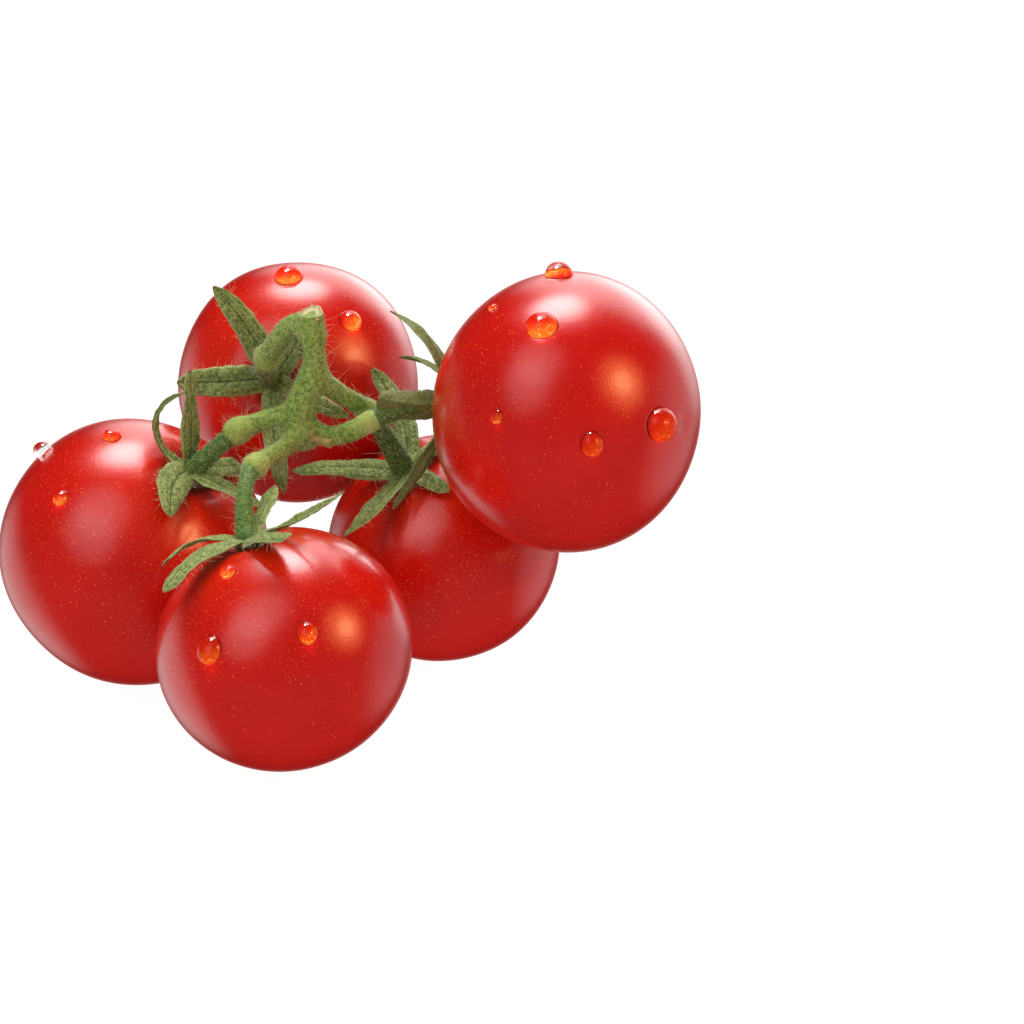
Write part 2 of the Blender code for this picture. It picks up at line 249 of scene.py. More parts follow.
@dataclass(frozen=True)
class TomatoSkin:
    """Ripe tomato skin: a thin waxy cuticle, grown smooth, over deep red flesh.

    The eye sees a saturated red with fine orange specks, thicker near the shoulders, a soft-edged
    gloss broken up by the cells under the wax, and a paler rim at a low angle. Fades go by the
    height along the fruit's axis, from -1 at the blossom end to 1 at the stem end.
    """

    deep: str = "#BE0B06"
    bright: str = "#D41508"
    shoulder: str = "#D61C06"
    speck: str = "#FA7A28"
    scar: str = "#7A2012"
    cloud: Grain = Grain(9.0, 3.0, 0.6)
    patch: Grain = Grain(7.0)
    # Real skin cells are about 0.04 mm, too fine for a pixel: these are drawn six times as wide.
    grain: Grain = Grain(0.24)
    coarse: Dots = Dots(0.72, 0.22, 0.066, 0.85)
    fine: Dots = Dots(0.36, 0.34, 0.102, 0.45)
    patch_density: Fade = Fade(0.35, 0.65, 0.05, 0.40)
    shoulder_density: Fade = Fade(-0.2, 0.5, 0.0, 0.9)
    shoulders: Fade = Fade(0.5, 0.95)
    blossom_end: Fade = Fade(-0.9997, -0.9999)
    hollow: Fade = Fade(0.965, 0.992, 0.0, 0.7)
    gloss: Fade = Fade(0.955, 0.985, 0.24, 0.7)
    wax: Fade = Fade(0.955, 0.985, 0.75, 0.0)
    wax_roughness: float = 0.16
    ior: float = 1.45
    relief: float = 0.8
    relief_mm: float = 0.05

    def make(self) -> bpy.types.Material:
        """Build the material.

        Returns:
            The material of all five fruits.
        """
        paint = Painter("ripe_tomato_skin")
        height = paint.add(Kind.VALUE, attribute_name="stem_end")
        cloud = paint.add(Kind.NOISE, paint.place, *self.cloud.inputs())
        flesh = paint.add(Kind.MIX, cloud, self.deep, self.bright)
        raised = paint.add(Kind.EASE, height, *self.shoulders)
        shouldered = paint.add(Kind.MIX, raised, flesh, self.shoulder)
        patch = paint.add(Kind.NOISE, paint.place, *self.patch.inputs())
        patchy = paint.add(Kind.EASE, patch, *self.patch_density)
        thicker = paint.add(Kind.EASE, height, *self.shoulder_density)
        dense = paint.add(Kind.ADD, patchy, thicker)
        both = [self.specks(paint, dense, dots) for dots in (self.coarse, self.fine)]
        specked = paint.add(Kind.MIX, paint.add(Kind.GREATER, *both), shouldered, self.speck)
        ended = paint.add(Kind.EASE, height, *self.blossom_end)
        scarred = paint.add(Kind.MIX, ended, specked, self.scar)
        sunk = paint.add(Kind.EASE, height, *self.hollow)
        cells = paint.add(Kind.NOISE, paint.place, *self.grain.inputs())
        return paint.finish(
            Base_Color=paint.add(Kind.MIX, sunk, scarred, self.scar),
            Roughness=paint.add(Kind.EASE, height, *self.gloss),
            IOR=self.ior,
            Coat_Weight=paint.add(Kind.EASE, height, *self.wax),
            Coat_Roughness=self.wax_roughness,
            Coat_IOR=self.ior,
            Normal=paint.add(Kind.BUMP, cells, self.relief, self.relief_mm * MM),
        )

    def specks(self, paint: Painter, dense: Socket, dots: Dots) -> Socket:
        """Scatter round specks of unequal strength.

        Args:
            paint: the material in the making.
            dense: share of the places that take a speck.
            dots: size, gap and strength of the specks.

        Returns:
            The share of speck colour.
        """
        dot, rank, strength = dots.scatter(paint)
        kept = paint.add(Kind.BELOW, rank, dense)
        return paint.add(Kind.TIMES, dot, paint.add(Kind.TIMES, kept, strength))


@dataclass(frozen=True)
class VineSkin:
    """Green skin of a tomato vine, grown ribbed and matt, under short pale fuzz.

    The eye sees mottled green with pale dots where the gland hairs stand, yellower at the swollen
    knuckles, and a pale bloom at low angles from the fuzz.
    """

    name: str
    green: str
    shade: str
    knuckle: str = "#B6C062"
    fleck: str = "#E6ECC0"
    bloom: str = "#DCE6B4"
    mottle: Grain = Grain(0.6, 4.0, 0.65)
    mottling: Fade = Fade(0.38, 0.62)
    flecks: Dots = Dots(0.38, 0.34, 0.16, 0.75)
    roughness: float = 0.55
    ior: float = 1.42
    sheen: float = 0.15
    sheen_roughness: float = 0.5
    relief: float = 0.9
    relief_mm: float = 0.16

    def make(self) -> bpy.types.Material:
        """Build the material.

        Returns:
            The material of a stem or of a fruit's own stalk.
        """
        paint = Painter(self.name)
        mottle = paint.add(Kind.NOISE, paint.place, *self.mottle.inputs())
        mottled = paint.add(Kind.EASE, mottle, *self.mottling)
        skin = paint.add(Kind.MIX, mottled, self.shade, self.green)
        near = paint.add(Kind.VALUE, attribute_name="knuckle")
        swollen = paint.add(Kind.MIX, near, skin, self.knuckle)
        dot, strength, _ = self.flecks.scatter(paint)
        dots = paint.add(Kind.TIMES, dot, strength)
        height = paint.add(Kind.ADD, mottle, dots)
        return paint.finish(
            Base_Color=paint.add(Kind.MIX, dots, swollen, self.fleck),
            Roughness=self.roughness,
            IOR=self.ior,
            Sheen_Weight=self.sheen,
            Sheen_Roughness=self.sheen_roughness,
            Sheen_Tint=self.bloom,
            Normal=paint.add(Kind.BUMP, height, self.relief, self.relief_mm * MM),
        )


@dataclass(frozen=True)
class SepalLeaf:
    """Tomato sepal: a thick hairy leaf, grown with sunk veins and puckers between them.

    The eye sees mid green with painted shade in the grooves along the midrib, side veins and
    pucker seams, pale specks and edges, a darker, browner underside of painted shade, a dry tip,
    and small wet glints. Rim and midrib go by the place across the blade, from 0 at the midrib
    to 1 at the edge, underside by the side, from 1 on top, and tip by the length.
    """

    green: str = "#AEB868"
    dark: str = "#566E30"
    # Painted shade: darker green laid in the grooves of the midrib, side veins and pucker seams.
    groove_shade: str = "#35501C"
    edge: str = "#B4C07C"
    fleck: str = "#E6EAC8"
    # Painted shade: the underside of each blade is painted darker and browner.
    under: str = "#686A2E"
    dry: str = "#8A6A3C"
    bloom: str = "#DCE6B4"
    mottle: Grain = Grain(0.55, 4.0, 0.7)
    mottling: Fade = Fade(0.34, 0.66)
    pucker_mm: float = 0.8
    net: Fade = Fade(0.10, 0.0, 0.0, 0.25)
    side_veins: float = 2.5
    side_vein_shift: float = 0.8
    stripes: Fade = Fade(0.4, 1.0, 0.0, 0.30)
    midrib: Fade = Fade(0.09, 0.02, 0.0, 0.8)
    flecks: Dots = Dots(0.38, 0.34, 0.14)
    rim: Fade = Fade(0.80, 1.0, 0.0, 0.7)
    underside: Fade = Fade(0.2, -0.4, 0.0, 0.75)
    tip: Fade = Fade(0.955, 0.995, 0.0, 0.9)
    glint: Grain = Grain(0.5)
    glints: Fade = Fade(0.58, 0.66, 0.58, 0.22)
    ior: float = 1.42
    sheen: float = 0.15
    sheen_roughness: float = 0.5
    relief: float = 1.0
    relief_mm: float = 0.2

    def make(self) -> bpy.types.Material:
        """Build the material.

        Returns:
            The material of all sepals.
        """
        paint = Painter("hairy_sepal_leaf")
        blade = paint.add(Kind.VECTOR, attribute_name="blade")
        across, along, side = paint.add(Kind.SPLIT_VECTOR, blade).node.outputs
        aside = paint.add(Kind.SIZE, across)
        mottle = paint.add(Kind.NOISE, paint.place, *self.mottle.inputs())
        pucker = paint.add(Kind.NET, paint.place, per_metre(self.pucker_mm))
        rate = 2 * math.pi * self.side_veins
        turn = paint.add(Kind.TIMES_ADD, aside, rate, self.side_vein_shift)
        ridge = paint.add(Kind.COSINE, turn)
        dot, strength, _ = self.flecks.scatter(paint)
        dots = paint.add(Kind.TIMES, dot, strength)
        mottled = paint.add(Kind.EASE, mottle, *self.mottling)
        colour = paint.add(Kind.MIX, mottled, self.dark, self.green)
        layers = (
            # Painted shade in the grooves: pucker seams, side-vein stripes and midrib are darkened.
            (paint.add(Kind.EASE, pucker, *self.net), self.groove_shade),
            (paint.add(Kind.EASE, ridge, *self.stripes), self.groove_shade),
            (paint.add(Kind.EASE, aside, *self.midrib), self.groove_shade),
            (dots, self.fleck),
            (paint.add(Kind.EASE, aside, *self.rim), self.edge),
            # Painted shade on the underside of the blade.
            (paint.add(Kind.EASE, side, *self.underside), self.under),
            (paint.add(Kind.EASE, along, *self.tip), self.dry),
        )
        for share, code in layers:
            colour = paint.add(Kind.MIX, share, colour, code)
        height = paint.add(Kind.ADD, pucker, paint.add(Kind.ADD, mottle, dots))
        wet = paint.add(Kind.NOISE, paint.place, *self.glint.inputs())
        return paint.finish(
            Base_Color=colour,
            Roughness=paint.add(Kind.EASE, wet, *self.glints),
            IOR=self.ior,
            Sheen_Weight=self.sheen,
            Sheen_Roughness=self.sheen_roughness,
            Sheen_Tint=self.bloom,
            Normal=paint.add(Kind.BUMP, height, self.relief, self.relief_mm * MM),
        )


@dataclass(frozen=True)
class PlantHair:
    """Clear to white plant hairs, drawn thicker than life so that a pixel catches them."""

    white: str = "#F4EEDC"
    green: str = "#A9B476"
    mottle: Grain = Grain(1.2)
    roughness: float = 0.45
    ior: float = 1.45

    def make(self) -> bpy.types.Material:
        """Build the material.

        Returns:
            The material of all hairs and fuzz.
        """
        paint = Painter("plant_hair")
        mottle = paint.add(Kind.NOISE, paint.place, *self.mottle.inputs())
        colour = paint.add(Kind.MIX, mottle, self.green, self.white)
        return paint.finish(Base_Color=colour, Roughness=self.roughness, IOR=self.ior)


@dataclass(frozen=True)
class CutStem:
    """Cut and dried end of a stem: a corky tan ring, a woody cylinder and green pith.

    The eye sees the rings as colours at shares of the radius, frayed where the fibres wander.
    """

    pith: str = "#8F9A5A"
    wood: str = "#D8CC9C"
    cork: str = "#8C774A"
    shares: tuple[float, ...] = (0.28, 0.42, 0.66, 0.78, 0.88, 1.0)
    fibre: Grain = Grain(0.35, 3.0)
    fraying: float = 0.30
    roughness: float = 0.75
    ior: float = 1.45
    relief: float = 0.9
    relief_mm: float = 0.15

    def make(self) -> bpy.types.Material:
        """Build the material.

        Returns:
            The material of the cut end.
        """
        paint = Painter("dry_cut_stem")
        fibre = paint.add(Kind.NOISE, paint.place, *self.fibre.inputs())
        wander = paint.add(Kind.TIMES_ADD, fibre, self.fraying, -self.fraying / 2)
        share = paint.add(Kind.VALUE, attribute_name="ring")
        ramp = paint.add(Kind.RAMP, paint.add(Kind.ADD, share, wander))
        stops = ramp.node.color_ramp.elements
        codes = (self.pith, self.wood, self.wood, self.cork, self.wood, self.cork)
        stops[0].position, stops[1].position = self.shares[:2]
        for at in self.shares[2:]:
            stops.new(at)
        for stop, code in zip(stops, codes):
            stop.color = linear(code)
        return paint.finish(
            Base_Color=ramp,
            Roughness=self.roughness,
            IOR=self.ior,
            Normal=paint.add(Kind.BUMP, fibre, self.relief, self.relief_mm * MM),
        )


@dataclass(frozen=True)
class DriedStalk:
    """Withered flower stalk: shrunken, corky, yellow-brown."""

    light: str = "#B7A55C"
    dark: str = "#7A6A34"
    wrinkle: Grain = Grain(0.7, 4.0, 0.7)
    roughness: float = 0.7
    relief: float = 0.8
    relief_mm: float = 0.15

    def make(self) -> bpy.types.Material:
        """Build the material.

        Returns:
            The material of the dried stub and its bead.
        """
        paint = Painter("dried_stalk")
        wrinkle = paint.add(Kind.NOISE, paint.place, *self.wrinkle.inputs())
        return paint.finish(
            Base_Color=paint.add(Kind.MIX, wrinkle, self.dark, self.light),
            Roughness=self.roughness,
            Normal=paint.add(Kind.BUMP, wrinkle, self.relief, self.relief_mm * MM),
        )


@dataclass(frozen=True)
class WaterFilm:
    """Clean water: clear and smooth, so that it shows the skin beneath and the lamps above."""

    ior: float = 1.333
    gloss: float = 0.35
    clear: str = "#FFF3EC"

    def make(self) -> bpy.types.Material:
        """Build the material. Light from the lamps passes on to the skin under a drop.

        Returns:
            The material of all drops.
        """
        paint = Painter("water")
        water = paint.finish(
            Roughness=0.0,
            IOR=self.ior,
            Specular_IOR_Level=self.gloss,
            Transmission_Weight=1.0,
        )
        clear = paint.add(Kind.CLEAR, self.clear)
        surface = paint.add(Kind.EITHER, paint.add(Kind.RAYS), paint.shader.outputs[0], clear)
        plug(paint.tree, paint.tree.nodes["Material Output"].inputs["Surface"], surface)
        return water


@dataclass(frozen=True)
class CausticPaintedSkin:
    """Tomato skin under a drop, with painted light where the water would gather it at the lower
    right.

    The eye sees the skin's red, painted lighter and more orange to the lower right as painted
    caustic light, with golden sparkles of painted light and a painted glow there, and a dark red
    line round the drop's foot, painted shade of the drop's edge.
    """

    # Colours of the painted caustic light and the painted dark rim under a drop.
    red: str = "#D62412"
    orange: str = "#F4641C"
    gold: str = "#FFCE6A"
    # Painted shade: dark red line round the drop's foot, standing in for the drop's edge.
    line: str = "#7C0A06"
    rightward: float = 0.45
    downward: float = 0.9
    cloud: Grain = Grain(0.6)
    cloud_share: float = 0.5
    warmth: Fade = Fade(-0.45, 0.55)
    gathering: Fade = Fade(-0.1, 0.7)
    sparkle_gap_mm: float = 0.30
    sparkle: Fade = Fade(0.50, 0.15)
    edge: Fade = Fade(0.74, 0.94, 0.0, 0.85)
    glow: float = 0.12
    roughness: float = 0.4

    def make(self) -> bpy.types.Material:
        """Build the material.

        Returns:
            The material under all drops.
        """
        paint = Painter("skin_under_drop_painted_light")
        spot = paint.add(Kind.VECTOR, attribute_name="spot")
        right, low, out = paint.add(Kind.SPLIT_VECTOR, spot).node.outputs
        strength = paint.add(Kind.VALUE, attribute_name="glow")
        cloud = paint.add(Kind.NOISE, paint.place, *self.cloud.inputs())
        wander = paint.add(Kind.TIMES_ADD, cloud, self.cloud_share, -self.cloud_share / 2)
        lean = paint.add(Kind.TIMES_ADD, low, self.downward, wander)
        lean = paint.add(Kind.TIMES_ADD, right, self.rightward, lean)
        # Painted caustic light: lighter and more orange towards the lower right, with gold
        # sparkles.
        lit = paint.add(Kind.TIMES, paint.add(Kind.EASE, lean, *self.warmth), strength)
        gathered = paint.add(Kind.TIMES, paint.add(Kind.EASE, lean, *self.gathering), strength)
        cells = paint.add(Kind.CELLS, paint.place, per_metre(self.sparkle_gap_mm))
        dot = paint.add(Kind.EASE, cells, *self.sparkle)
        warm = paint.add(Kind.MIX, lit, self.red, self.orange)
        golden = paint.add(Kind.MIX, paint.add(Kind.TIMES, dot, gathered), warm, self.gold)
        # Painted shade: the dark red line round the drop's foot.
        foot = paint.add(Kind.EASE, out, *self.edge)
        return paint.finish(
            Base_Color=paint.add(Kind.MIX, foot, golden, self.line),
            Roughness=self.roughness,
            Specular_IOR_Level=0.0,
            # Painted glow: the sheet under the drop glows though it is no lamp.
            Emission_Color=golden,
            Emission_Strength=paint.add(Kind.TIMES, gathered, self.glow),
        )


@dataclass(frozen=True)
class LightTable:
    """Sheet of white acrylic, lit evenly from beneath."""

    white: str = "#FFFFFF"
    haze: str = "#FDFDFC"
    unlit: str = "#202020"
    cloud: Grain = Grain(20.0)
    glow: float = 1.0
    roughness: float = 0.7

    def make(self) -> bpy.types.Material:
        """Build the material.

        Returns:
            The material of the floor.
        """
        paint = Painter("lit_white_acrylic")
        cloud = paint.add(Kind.NOISE, paint.place, *self.cloud.inputs())
        return paint.finish(
            Base_Color=self.unlit,
            Roughness=self.roughness,
            Emission_Color=paint.add(Kind.MIX, cloud, self.haze, self.white),
            Emission_Strength=self.glow,
        )


@dataclass
class Skin:
    """A surface in the making: corners in millimetres, faces, and values at the corners."""

    corners: np.ndarray
    faces: list[Face]
    values: dict[str, np.ndarray] = field(default_factory=dict)

    def mesh(self, name: str) -> bpy.types.Mesh:
        """Turn the surface into a smooth shaded mesh in metres.

        Args:
            name: name of the mesh.

        Returns:
            The mesh with its values as attributes.
        """
        mesh = bpy.data.meshes.new(name)
        mesh.from_pydata((self.corners * MM).tolist(), [], self.faces)
        mesh.validate()
        mesh.shade_smooth()
        for key, value in self.values.items():
            kind, target = ("FLOAT", "value") if value.ndim == 1 else ("FLOAT_VECTOR", "vector")
            attribute = mesh.attributes.new(key, kind, "POINT")
            attribute.data.foreach_set(target, value.astype(np.float32).ravel())
        return mesh


def merge(skins: Sequence[Skin]) -> Skin:
    """Put several surfaces into one.

    Args:
        skins: surfaces with the same values.

    Returns:
        One surface.
    """
    faces: list[Face] = []
    start = 0
    for skin in skins:
        faces.extend(tuple(i + start for i in face) for face in skin.faces)
        start += len(skin.corners)
    keys = skins[0].values
    values = {key: np.concatenate([skin.values[key] for skin in skins]) for key in keys}
    return Skin(np.vstack([skin.corners for skin in skins]), faces, values)


def add_piece(
    name: str,
    mesh: bpy.types.Mesh,
    material: bpy.types.Material,
    node: str | None = None,
) -> bpy.types.Object:
    """Put a mesh into the scene as a piece of the truss.

    Args:
        name: the piece's name.
        mesh: its mesh, in the truss's frame.
        material: its finish.
        node: the solid that the piece stands for, if any.

    Returns:
        The new object.
    """
    mesh.materials.append(material)
    obj = bpy.data.objects.new(name, mesh)
    bpy.context.scene.collection.objects.link(obj)
    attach(obj, BODY)
    if node is not None:
        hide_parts(node)
    log.info("%s: %d faces", name, len(mesh.polygons))
    return obj


def band(upper: int, lower: int, sides: int, start: int = 0) -> list[Face]:
    """Join two rings of corners with four-sided faces.

    Args:
        upper: first corner of the upper ring.
        lower: first corner of the lower ring.
        sides: corners in a ring.
        start: which corner each face starts from.

    Returns:
        The faces, once round.
    """
    faces = []
    for j in range(sides):
        k = (j + 1) % sides
        face = (upper + j, lower + j, lower + k, upper + k)
        faces.append(face[start:] + face[:start])
    return faces


def fan(pole: int, ring: int, sides: int) -> list[Face]:
    """Join a pole and the ring round it with triangles."""
    return [(pole, ring + j, ring + (j + 1) % sides) for j in range(sides)]


def lid(ring: int, sides: int) -> Face:
    """Close a lowest ring with one face."""
    return tuple(reversed(range(ring, ring + sides)))


def dome(rings: int, sides: int) -> list[Face]:
    """Give the faces of a closed dome: a pole, rings from there down, and a foot.

    Args:
        rings: number of rings.
        sides: corners in a ring.

    Returns:
        The faces. The pole is corner 0.
    """
    faces = fan(0, 1, sides)
    for i in range(rings - 1):
        faces += band(1 + i * sides, 1 + (i + 1) * sides, sides)
    return [*faces, lid(1 + (rings - 1) * sides, sides)]


def turns(sides: int) -> list[float]:
    """Angles of the corners of a ring."""
    return [2 * math.pi * j / sides for j in range(sides)]


def ease(rows: np.ndarray, places: np.ndarray) -> np.ndarray:
    """Read a smooth curve through rows of numbers.

    Args:
        rows: the given rows, one for each whole place.
        places: where to read, from 0 to the number of rows less one.

    Returns:
        One row for each place.
    """
    slopes = np.gradient(rows, axis=0)
    i = np.minimum(places.astype(int), len(rows) - 2)
    t = (places - i)[:, None]
    a = 2 * t**3 - 3 * t**2 + 1
    b = t**3 - 2 * t**2 + t
    c = -2 * t**3 + 3 * t**2
    d = t**3 - t**2
    return a * rows[i] + b * slopes[i] + c * rows[i + 1] + d * slopes[i + 1]


def smooth_line(stations: Sequence[Station], step: float = 0.7) -> np.ndarray:
    """Read a smooth line through stations of a stem.

    Args:
        stations: x, y, z and radius, from the root outwards.
        step: wanted distance between the points.

    Returns:
        Points with radii along the line.
    """
    rows = np.array(stations, float)
    places: list[float] = []
    for i, stride in enumerate(np.linalg.norm(np.diff(rows[:, :3], axis=0), axis=1)):
        count = max(1, round(float(stride) / step))
        places.extend(i + np.arange(count) / count)
    places.append(len(rows) - 1)
    return ease(rows, np.array(places))


def tube(line: np.ndarray, sides: int = 16) -> Skin:
    """Wrap a closed tube round a line.

    Args:
        line: points with radii.
        sides: number of sides.

    Returns:
        The tube.
    """
    slopes = np.gradient(line[:, :3], axis=0)
    side = Vector(FIRST_SIDE)
    corners: list[Vector] = []
    for point, slope in zip(line, slopes):
        along = Vector(slope).normalized()
        side = (side - along * side.dot(along)).normalized()
        across = along.cross(side)
        for turn in turns(sides):
            spoke = side * math.cos(turn) + across * math.sin(turn)
            corners.append(Vector(point[:3]) + spoke * point[3])
    faces: list[Face] = []
    for i in range(len(line) - 1):
        faces += band((i + 1) * sides, i * sides, sides, start=1)
    last = (len(line) - 1) * sides
    faces += [lid(0, sides), tuple(range(last, last + sides))]
    return Skin(np.array(corners), faces)


def wobble(points: np.ndarray, grain_mm: float, seed: float) -> np.ndarray:
    """Read smooth noise at points.

    Args:
        points: places in millimetres.
        grain_mm: size of the noise's bumps.
        seed: moves the noise.

    Returns:
        One value from about -1 to 1 for each point.
    """
    shifted = points / grain_mm + seed * NOISE_SHIFT
    return np.array([noise.noise(Vector(p)) for p in shifted])


@dataclass(frozen=True)
class Fruit:
    """One tomato: a turned body with a dimple, faint lobes and a small pressed flat."""

    number: int
    middle: Point
    radius: float
    heading: float
    elevation: float
    stands: bool = False
    polar: float = 0.94
    dimple_depth: float = 0.14
    dimple_width: float = 0.20
    scar_depth: float = 0.015
    scar_width: float = 0.07
    lobe_swell: float = 0.008
    lobes: int = 5
    pleat: float = 0.0004
    pleats: int = 11
    pleat_ring: float = 0.24
    pleat_spread: float = 0.16
    pleat_shift: float = 3.0
    unevenness: float = 0.0035
    bump_size: float = 0.8
    flat_depth: float = 0.16
    seat_height: float = 0.90
    fruits: int = 5
    sides: int = 168
    rings: int = 110
    crowding: float = 1.25

    def axis(self) -> Vector:
        """Point from the middle to the stem end.

        Returns:
            A unit vector.
        """
        heading, elevation = math.radians(self.heading), math.radians(self.elevation)
        flat = math.cos(elevation)
        return Vector((flat * math.cos(heading), flat * math.sin(heading), math.sin(elevation)))

    def seat(self) -> Vector:
        """Point on the axis where the sepals spread."""
        return Vector(self.middle) + self.axis() * self.radius * self.seat_height

    def dimple(self) -> Vector:
        """Lowest point of the dimple."""
        return Vector(self.middle) + self.axis() * self.radius * (self.polar - self.dimple_depth)

    def skin(self) -> Skin:
        """Turn the fruit's body.

        Returns:
            The closed surface, with stem_end as 1 at the stem end and -1 at the blossom end.
        """
        theta = math.pi * (np.arange(1, self.rings) / self.rings) ** self.crowding
        turn = np.array(turns(self.sides))
        phase = 2 * math.pi * self.number / self.fruits
        out = np.sin(theta)[:, None]
        dip = np.where(
            theta < math.pi / 2,
            -self.dimple_depth * np.exp(-((np.sin(theta) / self.dimple_width) ** 2)),
            self.scar_depth * np.exp(-((np.sin(theta) / self.scar_width) ** 2)),
        )
        height = self.polar * np.cos(theta)[:, None] + dip[:, None]
        upper = (np.cos(theta) > 0)[:, None]
        fold = np.exp(-(((out - self.pleat_ring) / self.pleat_spread) ** 2)) * upper
        pleat = self.pleat * fold * np.cos(self.pleats * turn + self.pleat_shift * phase)
        swell = 1 + self.lobe_swell * out * np.cos(self.lobes * turn + phase)
        level = height + pleat + np.zeros(self.sides)
        rows = np.stack([out * swell * np.cos(turn), out * swell * np.sin(turn), level], axis=-1)
        ends = [[0, 0, self.polar - self.dimple_depth], [0, 0, -self.polar + self.scar_depth]]
        corners = np.vstack([rows.reshape(-1, 3), ends])
        stem_end = np.concatenate([np.repeat(np.cos(theta), self.sides), [1.0, -1.0]])
        corners *= 1 + self.unevenness * wobble(corners, self.bump_size, self.number)[:, None]
        lean = Vector((0, 0, 1)).rotation_difference(self.axis()).to_matrix()
        placed = corners @ np.array(lean).T * self.radius + np.array(self.middle)
        if self.stands:
            placed[:, 2] -= placed[:, 2].min() + self.flat_depth
            placed[:, 2] = np.maximum(placed[:, 2], 0.0)
        top, bottom = len(corners) - 2, len(corners) - 1
        faces = fan(top, 0, self.sides)
        for i in range(self.rings - 2):
            faces += band(i * self.sides, (i + 1) * self.sides, self.sides)
        faces += [face[::-1] for face in fan(bottom, (self.rings - 2) * self.sides, self.sides)]
        return Skin(placed, faces, {"stem_end": stem_end})

    def build(self, finish: bpy.types.Material) -> bpy.types.Object:
        """Make the fruit's piece.

        Args:
            finish: the skin's material.

        Returns:
            The piece.
        """
        mesh = self.skin().mesh(f"tomato_{self.number}")
        return add_piece(mesh.name, mesh, finish, f"fruit_{self.number}")


@dataclass
class GrownTogether:
    """Round branches that grow into one another with soft hollows between them."""

    branches: list[np.ndarray]
    blend: float = 1.3
    voxel: float = 0.24
    rounds: int = 4
    slack: float = 0.6

    def distance(self, points: np.ndarray) -> tuple[np.ndarray, np.ndarray]:
        """Measure how far points are outside the surface.

        Args:
            points: places in millimetres.

        Returns:
            The distances, and the direction away from the surface at each point.
        """
        depth = np.full(len(points), FAR)
        away = np.zeros_like(points)
        rows = np.arange(len(points))
        for line in self.branches:
            start, stop = line[:-1], line[1:]
            run = stop[:, :3] - start[:, :3]
            offset = points[:, None, :] - start[None, :, :3]
            share = np.clip((offset * run).sum(2) / (run**2).sum(1), 0, 1)
            offset -= share[..., None] * run
            far = np.linalg.norm(offset, axis=2) + TINY
            value = far - (start[:, 3] + share * (stop[:, 3] - start[:, 3]))
            best = value.argmin(1)
            near = value[rows, best]
            outward = offset[rows, best] / far[rows, best, None]
            mix = np.clip(0.5 + 0.5 * (depth - near) / self.blend, 0, 1)
            depth = depth * (1 - mix) + near * mix - self.blend * mix * (1 - mix)
            away = away * (1 - mix[:, None]) + outward * mix[:, None]
        return depth, away

    def skin(self) -> Skin:
        """Wrap one even skin round all branches.

        Returns:
            The closed surface.
        """
        rough = merge([tube(line) for line in self.branches]).mesh("rough")
        obj = bpy.data.objects.new("rough", rough)
        bpy.context.scene.collection.objects.link(obj)
        remesh = obj.modifiers.new("remesh", "REMESH")
        remesh.mode = "VOXEL"
        remesh.voxel_size = self.voxel * MM
        depsgraph = bpy.context.evaluated_depsgraph_get()
        even = bpy.data.meshes.new_from_object(obj.evaluated_get(depsgraph))
        points = np.array([v.co for v in even.vertices], float) / MM
        edges = np.array([e.vertices[:] for e in even.edges])
        faces = [tuple(p.vertices) for p in even.polygons]
        bpy.data.objects.remove(obj, do_unlink=True)
        bpy.data.meshes.remove(rough)
        bpy.data.meshes.remove(even)
        links = np.bincount(edges.ravel(), minlength=len(points))[:, None]
        for _ in range(self.rounds):
            depth, away = self.distance(points)
            points = points - depth[:, None] * away
            total = np.zeros_like(points)
            np.add.at(total, edges[:, 0], points[edges[:, 1]])
            np.add.at(total, edges[:, 1], points[edges[:, 0]])
            points = (1 - self.slack) * points + self.slack * total / links
        depth, away = self.distance(points)
        return Skin(points - depth[:, None] * away, faces)

    def rough_skin(self, depth: float, grain_mm: float, seed: float) -> Skin:
        """Wrap one skin round all branches, and raise low bumps on it.

        Args:
            depth: height of the bumps.
            grain_mm: size of the bumps.
            seed: moves them.

        Returns:
            The closed surface.
        """
        skin = self.skin()
        bumps = depth * wobble(skin.corners, grain_mm, seed)[:, None]
        skin.corners += bumps * self.distance(skin.corners)[1]
        return skin


